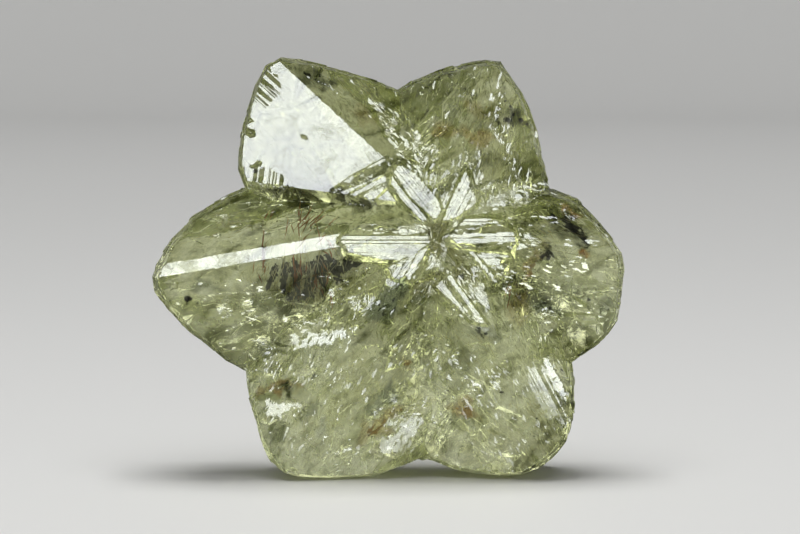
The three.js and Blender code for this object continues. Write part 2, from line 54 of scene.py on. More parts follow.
def toFrame(x, w, h):
    # from the stone's frame in millimetres to the CAD frame in metres
    c, s = math.cos(stone["lean"]), math.sin(stone["lean"])
    ox, oy, oz = stone["origin"]
    return np.stack([x + ox, -h * c + w * s + oy, h * s + w * c + oz], -1) * mm


def toStone(points):
    # from the CAD frame in metres to the stone's frame in millimetres
    c, s = math.cos(stone["lean"]), math.sin(stone["lean"])
    ox, oy, oz = stone["origin"]
    x, y, z = points[:, 0] / mm - ox, points[:, 1] / mm - oy, points[:, 2] / mm - oz
    return np.stack([x, y * s + z * c, -y * c + z * s], -1)


def rowsOf(keys, *rows):
    # one dictionary for each row of values; a short row leaves out the last keys
    return [dict(zip(keys.split(), row)) for row in rows]


def turned(u, v, degrees):
    # a place seen from axes that are turned by this many degrees
    a = math.radians(degrees)
    return u * math.cos(a) + v * math.sin(a), v * math.cos(a) - u * math.sin(a)


def pointsOf(mesh):
    co = np.zeros(len(mesh.vertices) * 3, np.float32)
    mesh.vertices.foreach_get("co", co)
    return co.reshape(-1, 3).astype(float)


def setPoints(mesh, points):
    mesh.vertices.foreach_set("co", points.astype(np.float32).ravel())
    mesh.update()


def meshObject(name, points, faces):
    mesh = bpy.data.meshes.new(name)
    mesh.from_pydata([tuple(p) for p in points], [], [tuple(int(i) for i in f) for f in faces])
    mesh.update()
    obj = bpy.data.objects.new(name, mesh)
    bpy.context.scene.collection.objects.link(obj)
    return obj


crystalLook = {
    "voxel": 0.085,  # mm, of the fine surface
    "sharpEdge": 12,  # degrees; edges of the solid sharper than this stay crisp
    "faces": 195000,
    "seed": 5,
    "mirror": 0.9972,  # a face at least this square to the twin axis is left as smooth as it grew
    # growth layers on each lobe: heading of the lobe, how many, how high they stand in mm, how far they
    # turn from the lobe in degrees, how strong the mosaic of facets is, and how high the ledges stand
    "lobes": rowsOf(
        "heading layers height spread mosaic ledge",
        (189.7, 100, 0.035, 6, 0.35, 0.02),  # west
        (130, 100, 0.035, 8, 0.4, 0.03),  # northwest
        (75.5, 240, 0.07, 12, 0.9, 0.06),  # northeast
        (-11.3, 170, 0.06, 16, 1.1, 0.06),  # east
        (-60.5, 240, 0.07, 18, 1.2, 0.08),  # southeast
        (241.6, 260, 0.07, 18, 1.2, 0.08),  # southwest
    ),
    "reach": 21,  # mm from the middle of the star to the farthest tip
    "mosaicCell": (2.8, 1.3),  # mm along and across the lobe
    "mosaicTilt": 5,  # degrees
    "mosaicStep": 0.04,  # mm
    "grain": 0.006,  # mm
    "lobeEdge": (30, 38),  # degrees from a lobe's middle where its relief starts to fade, and is gone
    "backShare": 0.45,  # of the mosaic, on the back
    # the facets of the rim: size round it and through it, tilt and step
    "rimFacets": (((2.4, 0.7), 5, 0.02), ((0.8, 0.5), 5, 0.012)),
    "rimLimit": 0.1,
}
# The bright strip along the ridge of the west lobe: where it starts, its heading and fall, and how far
# it reaches to each side and ahead, in mm.
westStrip = {
    "from": (-4.4, 18.1, 6.22),
    "heading": 189.7,
    "fall": 3,  # degrees
    "sides": (-0.385, 0.55),
    "ahead": (-0.2, 12.4),
}


def applyModifiers(obj):
    graph = bpy.context.evaluated_depsgraph_get()
    mesh = bpy.data.meshes.new_from_object(obj.evaluated_get(graph))
    obj.modifiers.clear()
    obj.data = mesh


def keepLargestBody(mesh):
    # the remesh and the decimation leave crumbs of a few faces beside the one closed body
    work = bmesh.new()
    work.from_mesh(mesh)
    seen, bodies = set(), []
    for start in work.verts:
        if start in seen:
            continue
        seen.add(start)
        body = [start]
        for point in body:  # grows while it is gone through
            for edge in point.link_edges:
                other = edge.other_vert(point)
                if other not in seen:
                    seen.add(other)
                    body.append(other)
        bodies.append(body)
    bodies.sort(key=len)
    crumbs = [point for body in bodies[:-1] for point in body]
    bmesh.ops.delete(work, geom=crumbs, context="VERTS")
    work.to_mesh(mesh)
    work.free()


def fineSurface(source, voxel):
    # an even fine mesh over the solid
    obj = bpy.data.objects.new("crystalBody", source.data.copy())
    bpy.context.scene.collection.objects.link(obj)
    weld = obj.modifiers.new("weld", "WELD")
    weld.merge_threshold = 1e-7
    remesh = obj.modifiers.new("remesh", "REMESH")
    remesh.mode = "VOXEL"
    remesh.voxel_size = voxel * mm
    applyModifiers(obj)
    return obj


def sharpEdgesOf(mesh, points, normals, degrees, spacing):
    # the solid's sharp edges, as points along them
    _, welded = np.unique(np.round(points, 8), axis=0, return_inverse=True)
    welded = welded.reshape(-1)
    sides = {}
    for p in mesh.polygons:
        corners = list(p.vertices)
        for a, b in zip(corners, corners[1:] + corners[:1]):
            key = (min(welded[a], welded[b]), max(welded[a], welded[b]))
            sides.setdefault(key, []).append((p.index, a, b))
    limit = math.cos(math.radians(degrees))
    along = []
    for found in sides.values():
        if len(found) != 2 or normals[found[0][0]] @ normals[found[1][0]] > limit:
            continue
        start, end = points[found[0][1]], points[found[0][2]]
        steps = max(2, int(np.linalg.norm(end - start) / spacing) + 1)
        along.append(start + np.linspace(0, 1, steps)[:, None] * (end - start))
    along = np.concatenate(along)
    tree = KDTree(len(along))
    for i, p in enumerate(along):
        tree.insert(p, i)
    tree.balance()
    return tree


def drawOnto(obj, source, voxel, sharpEdge):
    # moves the fine mesh onto the solid's faces and sharp edges; gives the face normal at each point
    cad = source.data
    cadPoints = pointsOf(cad)
    surface = treeOf(source)
    normals = np.array([p.normal for p in cad.polygons])
    edges = sharpEdgesOf(cad, cadPoints, normals, sharpEdge, 0.3 * voxel * mm)
    points = pointsOf(obj.data)
    face = np.zeros(len(points), int)
    reach = 0.6 * voxel * mm
    for i, p in enumerate(points):
        place, _, face[i], _ = surface.find_nearest(p)
        edge, _, far = edges.find(place)
        points[i] = edge if far < reach else place
    setPoints(obj.data, points)
    return normals[face]


def treeOf(obj):
    mesh = obj.data
    return BVHTree.FromPolygons([v.co for v in mesh.vertices], [tuple(p.vertices) for p in mesh.polygons])


def smoothStep(low, high, value):
    t = np.clip((value - low) / (high - low), 0, 1)
    return t * t * (3 - 2 * t)


def within(x, w, place):
    # how far each point is from the middle of a turned oval, 1 at its edge
    along, across = turned(x - place["at"][0], w - place["at"][1], place["turn"])
    return np.hypot(along / place["size"][0], across / place["size"][1])


def cellHash(i, j, seed):
    # a repeatable number from 0 to 1 for each cell of a grid
    n = (i * 374761393 + j * 668265263 + seed * 974711) & 0x7FFFFFFF
    n = ((n ^ (n >> 13)) * 1274126177) & 0x7FFFFFFF
    return ((n ^ (n >> 16)) & 0xFFFF) / 65535.0


def valueNoise(u, v, seed):
    # smooth noise from 0 to 1 with a cell of 1
    i, j = np.floor(u).astype(np.int64), np.floor(v).astype(np.int64)
    a, b = u - i, v - j
    a, b = a * a * (3 - 2 * a), b * b * (3 - 2 * b)
    low = cellHash(i, j, seed) * (1 - a) + cellHash(i + 1, j, seed) * a
    high = cellHash(i, j + 1, seed) * (1 - a) + cellHash(i + 1, j + 1, seed) * a
    return low * (1 - b) + high * b


def mosaic(u, v, cell, tilt, step, seed):
    # flat facets, one to a cell, each tipped a little and set a little higher or lower
    cu, cv = u / cell[0], v / cell[1]
    i0, j0 = np.floor(cu).astype(np.int64), np.floor(cv).astype(np.int64)
    best = np.full(len(u), 1e9)
    height = np.zeros(len(u))
    slope = math.tan(math.radians(tilt))
    for di in (-1, 0, 1):
        for dj in (-1, 0, 1):
            i, j = i0 + di, j0 + dj
            du = cu - (i + 0.1 + 0.8 * cellHash(i, j, seed))
            dv = cv - (j + 0.1 + 0.8 * cellHash(i, j, seed + 1))
            far = np.abs(du) + np.abs(dv)
            gu = slope * (2 * cellHash(i, j, seed + 2) - 1)
            gv = slope * (2 * cellHash(i, j, seed + 3) - 1)
            here = gu * du * cell[0] + gv * dv * cell[1] + step * (2 * cellHash(i, j, seed + 4) - 1)
            near = far < best
            best[near], height[near] = far[near], here[near]
    return height


def ledges(u, v, seed):
    # broad low plateaus with steep winding edges, from 0 to 1
    field = valueNoise(u / 2.6, v / 1.3, seed) + 0.45 * valueNoise(u / 0.9, v / 0.5, seed + 1)
    t = field * 5
    return (np.floor(t) + smoothStep(0.6, 1.0, t - np.floor(t))) / 5 - field


def layers(x, w, look, rng):
    # thin growth layers that overlap along a lobe, each with a tipped top and one steep end
    height = np.zeros(len(x))
    order = np.argsort(x)
    sortedX = x[order]
    sx, sw = stone["star"]
    for _ in range(look["layers"]):
        ahead = crystalLook["reach"] * math.sqrt(rng.uniform(0.03, 0.9))
        bearing = math.radians(look["heading"] + rng.normal(0, 15))
        cx, cw = sx + ahead * math.cos(bearing), sw + ahead * math.sin(bearing)
        turn = look["heading"] + rng.normal(0, look["spread"])
        length, width = rng.uniform(0.6, 3.4), rng.uniform(0.12, 0.7)
        rise, blunt = look["height"] * rng.uniform(0.35, 1.2), rng.uniform(0.05, 0.12)
        first, last = np.searchsorted(sortedX, [cx - length / 2, cx + length / 2])
        chosen = order[first:last]
        f, s = turned(x[chosen] - cx, w[chosen] - cw, turn)
        inside = (np.abs(f) < length / 2) & (np.abs(s) < width / 2)
        chosen, f, s = chosen[inside], f[inside], s[inside]
        slant = rng.uniform(-0.3, 0.3)
        edge = np.minimum(width / 2 - np.abs(s), length / 2 - np.abs(f + slant * s))
        here = rise * (0.35 + 0.65 * (f / length + 0.5)) * np.clip(edge / blunt, 0, 1)
        height[chosen] = np.maximum(height[chosen], here)
    return height


# Patches where a sloping face breaks into small terraces that lie square to the twin axis, and flash:
# place, turn, half length and half width in mm, and the height of a step.
flashes = rowsOf(
    "at turn size step",
    ((-4.7, 10.9), 12, (1.6, 0.5), 0.22),
    ((-3.1, 11.2), 25, (1.0, 0.35), 0.15),
    ((-2.5, 13.5), 40, (0.5, 0.4), 0.12),
    ((-1.7, 13.4), 30, (1.0, 0.7), 0.16),
    ((-7.6, 5.0), 10, (1.5, 0.5), 0.2),
    ((-10.4, 12.9), -60, (0.9, 0.4), 0.1),
    ((-12.3, 12.8), 80, (0.7, 0.6), 0.08),
    ((-9.2, 10.3), -50, (0.9, 0.5), 0.1),
    ((0.6, 2.9), 35, (1.9, 0.8), 0.3),
    ((2.4, 5.3), 50, (1.0, 0.6), 0.25),
    ((-0.2, 5.8), 38, (1.8, 0.35), 0.1),
    ((11.7, 12.4), 5, (1.0, 0.5), 0.15),
    ((13.8, 20.2), -38, (0.9, 0.3), 0.12),
    ((8.3, 27.9), 70, (0.9, 0.22), 0.12),
    ((8.6, 25.6), -55, (1.3, 0.18), 0.1),
    ((9.9, 22.8), -55, (1.6, 0.2), 0.1),
    ((10.4, 21.2), 15, (1.7, 0.4), 0.1),
    ((-0.1, 27.3), -60, (1.4, 0.5), 0.1),
    ((2.3, 24.9), -20, (1.6, 0.9), 0.11),
    ((2.9, 22.8), -5, (1.5, 0.8), 0.11),
    ((8.2, 8.0), 60, (1.2, 0.4), 0.12),
    ((-15.2, 16.2), 60, (0.7, 0.25), 0.1),
    ((-8.6, 22.5), -6, (1.8, 0.6), 0.14),
    ((-5.6, 22.2), -3, (1.5, 0.4), 0.12),
    ((-2.6, 22.6), 15, (2.0, 0.6), 0.14),
    ((6.9, 22.2), 10, (1.6, 0.35), 0.1),
    ((-3.6, 14.4), 40, (1.2, 0.5), 0.14),
    ((-6.6, 12.0), -20, (1.2, 0.4), 0.12),
    ((5.0, 9.3), -60, (1.6, 0.4), 0.1),
    ((6.4, 6.6), 35, (1.3, 0.5), 0.1),
)


def terraced(h, x, w, seed):
    # how far each point moves to the terraces
    wobble = 1.1 * (valueNoise(x / 0.6, w / 0.45, seed) - 0.5)
    wobble = wobble + 0.4 * (valueNoise(x / 0.2, w / 0.2, seed + 1) - 0.5)
    moved = np.zeros(len(x))
    for k, flash in enumerate(flashes):
        dx, dw = x - flash["at"][0], w - flash["at"][1]
        share = smoothStep(1.02, 0.94, within(x, w, flash) + wobble)
        tip = 0.035 * np.array([math.sin(2.4 * k), math.cos(3.7 * k)])
        base = h - tip[0] * dx - tip[1] * dw
        t = base / flash["step"] + 1.6 * valueNoise(x / 0.7, w / 0.5, seed + 60 + k)
        level = np.floor(t) + smoothStep(0.8, 1.0, t - np.floor(t))
        moved = np.where(share > 0, share * (level - t) * flash["step"], moved)
    # specks of the same kind, thinly scattered
    common = 0.6 + 0.4 * valueNoise(x / 3, w / 3, seed + 4)
    speck = smoothStep(0.80, 0.84, valueNoise(x / 0.55, w / 0.4, seed + 3) * common)
    step = 0.12
    t = h / step
    level = np.floor(t) + smoothStep(0.75, 1.0, t - np.floor(t))
    return np.where((moved == 0) & (speck > 0), speck * (level * step - h), moved)


def roughen(points, normals, seed):
    # the fine relief of the grown faces and of the rim
    rng = np.random.default_rng(seed)
    look = crystalLook
    place = toStone(points)
    x, w, h = place.T
    normal = toStone(normals * mm + toFrame(0.0, 0.0, 0.0))
    nx, nw, nh = normal.T
    side = np.sign(nh)
    facing = smoothStep(0.16, 0.34, np.abs(nh))
    smooth = (nh > look["mirror"]).astype(float)
    sx, sw = stone["star"]
    bearing = np.degrees(np.arctan2(w - sw, x - sx))
    relief = np.zeros(len(x))
    for k, lobe in enumerate(look["lobes"]):
        off = np.abs((bearing - lobe["heading"] + 180) % 360 - 180)
        for front in (1, -1):
            here = (off < look["lobeEdge"][1]) & (side == front) & (facing > 0) & (smooth == 0)
            if not here.any():
                continue
            u, v = turned(x[here], w[here], lobe["heading"])
            rise = layers(x[here], w[here], lobe, rng)
            bend = 0.9 * (valueNoise(u / 1.7, v / 1.7, seed + 10 * k + 7) - 0.5)
            cell, tilt, step = look["mosaicCell"], look["mosaicTilt"], look["mosaicStep"]
            tiles = mosaic(u + bend, v + 0.5 * bend, cell, tilt, step, seed + 10 * k)
            fine = mosaic(u + bend, v, (0.8, 0.35), tilt, 0.012, seed + 10 * k + 5)
            # some patches are smooth and others finely layered
            worn = smoothStep(0.40, 0.62, valueNoise(u / 2.4, v / 1.5, seed + 10 * k + 8))
            fade = 1 - smoothStep(*look["lobeEdge"], off[here])
            shelf = lobe["ledge"] * ledges(u, v, seed + 10 * k + 3)
            strength = lobe["mosaic"] * (1 if front == 1 else look["backShare"])
            facets = strength * (tiles + 0.7 * worn * fine) * (0.35 + 0.65 * fade)
            relief[here] = worn * rise + facets + shelf * fade
    front = (side > 0) & (facing > 0) & (smooth == 0)
    relief[front] += terraced(h[front] + relief[front], x[front], w[front], seed + 31)
    grain = look["grain"] * (valueNoise(x / 0.16, w / 0.16, seed + 3) - 0.5) * (1 - smooth)
    place[:, 2] += side * facing * (relief + grain)
    # the strip on the west lobe is one clean face
    f, s = turned(x - westStrip["from"][0], w - westStrip["from"][1], westStrip["heading"])
    low, high = westStrip["sides"]
    onStrip = (s > low) & (s < high) & (f > westStrip["ahead"][0]) & (f < westStrip["ahead"][1]) & (side > 0)
    level = westStrip["from"][2] - f * math.tan(math.radians(westStrip["fall"]))
    place[onStrip, 2] = level[onStrip]
    # the rim: growth layers that run round it, and small irregular facets
    around = np.arctan2(w - 16, x) * 15
    large, small = look["rimFacets"]
    rim = mosaic(around, h, *large, seed + 41) + mosaic(around, h, *small, seed + 47)
    size = np.maximum(np.hypot(nx, nw), 1e-6)
    shift = (1 - facing) * np.clip(rim, -look["rimLimit"], look["rimLimit"])
    above = smoothStep(0.0, 0.6, points[:, 2] / mm)
    place[:, 0] += shift * above * nx / size
    place[:, 1] += shift * above * nw / size
    return toFrame(*place.T)


# Places in the stone with a colour painted on: stains, painted shade where the stone looks dark, and painted
# highlights where it looks bright. Place, turn, half length and half width in mm, colour, how strong it is,
# and how streaky.
ironBrown = (0.44, 0.32, 0.15)
# painted shade in the middle of the star, where the lobes meet
paintedShadeOlive = (0.20, 0.19, 0.08)
# painted shade where the stone looks dark, as in the window and under the ridge of the east lobe
paintedShadeGreen = (0.022, 0.028, 0.012)
# painted highlight, pale yellow, on bright flat patches
paintedHighlightYellow = (0.85, 0.85, 0.60)
rust = (0.48, 0.25, 0.09)
# painted shade, grey, where the stone looks dark
paintedShadeSlate = (0.09, 0.115, 0.10)
# painted highlight, silvery, where small facets flash
paintedHighlightSilver = (0.55, 0.58, 0.56)
amber = (0.36, 0.22, 0.06)
colourPlaces = rowsOf(
    "at turn size colour strength streak",
    ((3.8, 18.6), 0, (1.0, 0.9), paintedShadeOlive, 0.9),
    ((4.9, 16.7), -40, (2.4, 0.75), paintedShadeOlive, 0.8),
    ((3.2, 14.9), 12, (1.6, 0.7), paintedShadeOlive, 0.7),
    ((-5.8, 15.6), 8, (3.9, 2.0), paintedShadeGreen, 0.15, 0.7),
    ((-2.6, 16.3), 60, (1.3, 0.8), paintedShadeGreen, 0.4, 0.5),
    # painted shade along the foot of the great face, darkening a glow there
    ((-4.6, 21.4), -4, (5.4, 0.7), (0.007, 0.0075, 0.0035), 0.96, 0.1),
    ((0.0, 13.5), 60, (1.8, 1.0), paintedShadeSlate, 0.85),
    ((1.5, 9.0), 10, (0.6, 0.4), ironBrown, 0.7),
    ((-8.2, 6.8), 18, (1.7, 0.36), ironBrown, 0.95),
    ((-7.2, 6.9), 40, (0.3, 0.3), paintedShadeGreen, 1),
    ((-8.2, 3.4), 80, (1.2, 0.5), (0.06, 0.08, 0.03), 0.8),
    ((-0.5, 4.1), 38, (2.6, 0.5), ironBrown, 0.7),
    ((0.6, 2.9), 32, (2.1, 1.0), paintedHighlightYellow, 0.9, 0.25),
    ((2.3, 5.3), 50, (1.2, 0.8), paintedHighlightYellow, 0.9),
    ((6.0, 5.3), -32, (1.2, 0.6), ironBrown, 0.85),
    ((5.7, 26.1), -12, (2.3, 0.45), amber, 0.7),
    ((6.6, 28.2), -30, (1.4, 0.6), amber, 0.5, 0.4),
    ((13.7, 20.2), -40, (0.9, 0.3), rust, 0.8),
    ((14.6, 17.2), 30, (0.4, 0.35), rust, 1),
    ((11.0, 16.4), 68, (1.6, 0.5), ironBrown, 0.9, 0.5),
    ((11.7, 17.1), 70, (0.9, 0.4), paintedShadeGreen, 0.9, 0.3),
    ((13.6, 18.9), -40, (2.2, 0.8), paintedShadeGreen, 0.93, 0.4),
    ((12.0, 13.1), -8, (1.5, 0.55), paintedShadeSlate, 0.85, 0.2),
    ((16.2, 13.2), 60, (0.7, 0.45), paintedShadeSlate, 0.8, 0.3),
    ((9.5, 27.3), -30, (0.8, 0.42), paintedShadeGreen, 0.9, 0.4),
    ((8.9, 29.9), -60, (0.6, 0.3), paintedShadeGreen, 0.7, 0.3),
    ((-5.6, 30.4), -20, (2.1, 0.55), paintedShadeGreen, 0.95, 0.4),
    ((-2.0, 27.6), -30, (1.4, 0.5), amber, 0.35),
    ((-15.0, 13.85), 30, (0.38, 0.26), (0.01, 0.01, 0.008), 1),
    ((-13.6, 14.9), -5, (1.3, 0.3), paintedShadeSlate, 0.6),
    ((-12.2, 12.8), 10, (1.3, 0.7), paintedHighlightYellow, 0.5, 0.3),
    ((-4.8, 4.0), 70, (1.1, 0.6), paintedHighlightSilver, 0.7),
    ((-0.3, 6.0), 36, (2.4, 0.6), paintedShadeSlate, 0.8, 0.6),
    ((-4.6, 10.9), 12, (1.9, 0.6), paintedHighlightSilver, 0.7),
    ((-7.8, 10.0), -5, (1.3, 0.35), paintedShadeSlate, 0.4),
    ((5.4, 9.4), -60, (1.7, 0.9), (0.09, 0.11, 0.05), 0.55, 0.4),
    ((7.3, 11.2), -20, (1.2, 0.6), paintedShadeSlate, 0.6, 0.2),
    ((9.8, 13.6), 85, (2.0, 0.55), (0.30, 0.20, 0.07), 0.5),
    ((6.6, 27.2), 10, (2.4, 1.1), (0.17, 0.18, 0.07), 0.5),
    ((-9.3, 16.9), 10, (2.4, 0.4), paintedShadeSlate, 0.4, 0.3),
    ((3.6, 9.4), -65, (3.8, 1.7), (0.24, 0.26, 0.12), 0.5, 0.5),
    ((-5.8, 5.4), 35, (1.0, 0.6), paintedShadeSlate, 0.6, 0.2),
    ((-2.4, 8.8), 40, (2.2, 0.7), paintedHighlightYellow, 0.6, 0.3),
    ((9.6, 3.2), -20, (1.8, 0.7), paintedHighlightYellow, 0.6, 0.3),
    ((-8.8, 9.2), -55, (1.2, 0.5), (0.12, 0.13, 0.07), 0.6, 0.3),
)
# Bands where small facets square to the twin axis are common: place, turn, half length and half width
# in mm, and the share of facets.
glintBands = rowsOf(
    "at turn size share",
    ((1.3, 25.4), -58, (4.6, 1.1), 0.22),
    ((9.4, 24.6), -60, (4.4, 0.8), 0.10),
    ((9.8, 21.6), 14, (3.2, 0.6), 0.35),
    ((8.6, 30.0), -70, (1.6, 0.7), 0.12),
    ((10.2, 15.6), 40, (2.6, 1.4), 0.08),
    ((-9.9, 13.2), -60, (1.6, 0.8), 0.16),
    ((-5.0, 11.4), 15, (3.0, 1.0), 0.16),
    ((-1.6, 13.4), 40, (2.0, 1.2), 0.14),
    ((-8.2, 8.4), 20, (1.6, 1.0), 0.10),
    ((3.6, 8.8), -60, (3.6, 1.2), 0.10),
    ((1.4, 3.8), 35, (2.6, 1.4), 0.12),
    ((7.6, 8.4), -50, (3.0, 1.0), 0.08),
    ((0.9, 3.3), 38, (1.8, 0.9), 0.95),
    ((-5.4, 21.7), -6, (5.0, 0.45), 0.45),
    ((12.2, 6.6), -62, (2.6, 1.1), 1.0),
    ((14.5, 16.4), 20, (3.6, 3.0), 0.045),
    ((-4.6, 6.0), 40, (5.4, 4.2), 0.03),
    ((8.4, 5.4), -40, (5.2, 4.2), 0.035),
    ((-5.2, 10.9), 12, (2.5, 0.5), 0.9),
    ((-7.8, 5.4), 12, (1.4, 0.6), 0.9),
    ((-1.6, 13.3), 35, (1.1, 0.5), 0.5),
)
toneLook = {
    "deep": (0.40, 0.41, 0.22),
    "pale": (0.66, 0.68, 0.46),
    "deepMilkyGlow": (0.74, 0.76, 0.48),  # the same two where the stone is milky or quiet, paler: partly milkiness, partly painted glow
    "paleMilkyGlow": (0.96, 0.98, 0.78),
    "dark": (0.11, 0.12, 0.055),
}
# where the stone is milky, and painted paler with glow: the lower lobes, the foot of the west lobe and the
# east lobe
hazyPlaces = rowsOf(
    "at turn size share",
    ((-4.6, 5.2), -50, (8.5, 5.6), 1.0),
    ((6.6, 5.4), 50, (8.0, 5.4), 0.85),
    ((-12.0, 13.2), -30, (5.4, 3.2), 0.9),
    ((15.5, 15.0), -60, (5.0, 3.4), 0.8),
    ((8.0, 26.0), 60, (5.5, 4.2), 0.4),
)
# the quiet roof of the west lobe
calmPlace = {"at": (-8.6, 18.6), "turn": 9.7, "size": (7.5, 3.4)}
armHeadings = (179, 129.5, 65, -1, -48, 227)  # of the striated arms of the star, in degrees


def keepAtPoints(obj, name, kind, field, values):
    data = obj.data.attributes.new(name, kind, "POINT").data
    data.foreach_set(field, values.astype(np.float32).ravel())


def growthDirections(obj):
    # each point's place along and across its lobe, and along and across its arm of the star, in mm
    x, w, h = toStone(pointsOf(obj.data)).T
    dx, dw = x - stone["star"][0], w - stone["star"][1]
    bearing = np.degrees(np.arctan2(dw, dx))
    lobeHeadings = [lobe["heading"] for lobe in crystalLook["lobes"]]
    for name, headings in (("lobePlace", lobeHeadings), ("armPlace", armHeadings)):
        headings = np.array(headings)
        off = np.abs((bearing[:, None] - headings[None] + 180) % 360 - 180)
        nearest = off.argmin(axis=1)
        a = np.radians(headings[nearest])
        along, across = dx * np.cos(a) + dw * np.sin(a), dw * np.cos(a) - dx * np.sin(a)
        keepAtPoints(obj, name, "FLOAT_VECTOR", "vector", np.stack([along, across + 40 * nearest, h], -1))


def toned(base, other, share):
    # a mix of two colours by the share of the second
    return np.asarray(base) * (1 - share[:, None]) + np.asarray(other) * share[:, None]


def paintPoints(obj):
    # the colour of the stone at each point, with painted shade and painted highlights in places, and in
    # "finish" how common flashing facets are there, how calm the surface is and how milky the stone
    look = toneLook
    x, w, h = toStone(pointsOf(obj.data)).T
    u, v = x + 0.6 * h, w - 0.5 * h
    clouds = 0.6 * valueNoise(u / 3.0, v / 3.0, 71) + 0.4 * valueNoise(u / 1.1, v / 1.1, 72)
    clouds = smoothStep(0.32, 0.68, clouds)
    along, across = turned(u, v, 35)
    streaks = 0.65 * valueNoise(along / 1.9, across / 0.4, 73)
    streaks = streaks + 0.35 * valueNoise(along / 0.8, across / 0.2, 74)
    hazy = np.zeros(len(x))
    for place in hazyPlaces:
        hazy = np.maximum(hazy, place["share"] * smoothStep(1.3, 0.7, within(x, w, place)))
    calm = smoothStep(1.1, 0.85, within(x, w, calmPlace))
    low = np.maximum(hazy, 0.7 * calm)
    # paler where milky or quiet: partly milkiness, partly painted glow
    deep, pale = toned(look["deep"], look["deepMilkyGlow"], low), toned(look["pale"], look["paleMilkyGlow"], low)
    colour = deep + (pale - deep) * clouds[:, None]
    colour = toned(colour, pale, smoothStep(0.45, 0.8, streaks))
    colour = toned(colour, look["dark"], smoothStep(0.38, 0.26, streaks) * (1 - 0.5 * hazy))
    # the same places with ragged edges
    bent = []
    for k, p in enumerate((x, w)):
        coarse, fine = valueNoise(x / 0.9, w / 0.9, 75 + k), valueNoise(x / 0.3, w / 0.3, 78 + k)
        bent.append(p + 1.1 * (coarse - 0.5) + 0.5 * (fine - 0.5))
    along, across = turned(bent[0], bent[1], -72)
    fibres = smoothStep(0.5, 0.6, valueNoise(along / 2.2, across / 0.2, 77))
    front = smoothStep(-2.5, 0.5, h)
    # stains, painted shade and painted highlights, each in its place
    for place in colourPlaces:
        share = place["strength"] * front * smoothStep(1.15, 0.8, within(*bent, place))
        colour = toned(colour, place["colour"], share * (1 - place.get("streak", 0) * fibres))
    glints = np.zeros(len(x))
    for band in glintBands:
        glints = np.maximum(glints, band["share"] * front * smoothStep(1.1, 0.7, within(*bent, band)))
    keepAtPoints(obj, "tone", "FLOAT_COLOR", "color", np.concatenate([colour, np.ones((len(x), 1))], 1))
    keepAtPoints(obj, "finish", "FLOAT_VECTOR", "vector", np.stack([glints, calm, hazy], -1))


def buildCrystal():
    look = crystalLook
    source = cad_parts["crystal"]
    voxel = look["voxel"] * 1
    obj = fineSurface(source, voxel)
    print("fine surface:", len(obj.data.vertices), "points")
    normals = drawOnto(obj, source, voxel, look["sharpEdge"])
    setPoints(obj.data, roughen(pointsOf(obj.data), normals, look["seed"]))
    print("relief done")
    decimate = obj.modifiers.new("decimate", "DECIMATE")
    decimate.ratio = min(1, look["faces"] / (2 * len(obj.data.polygons)))
    applyModifiers(obj)
    keepLargestBody(obj.data)
    growthDirections(obj)
    paintPoints(obj)
    print("crystal faces:", len(obj.data.polygons))
    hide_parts("crystal")
    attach(obj, "root")
    return obj


def nodesFor(name):
    material = bpy.data.materials.new(name)
    material.use_nodes = True
    tree = material.node_tree
    return material, tree, tree.nodes["Principled BSDF"]


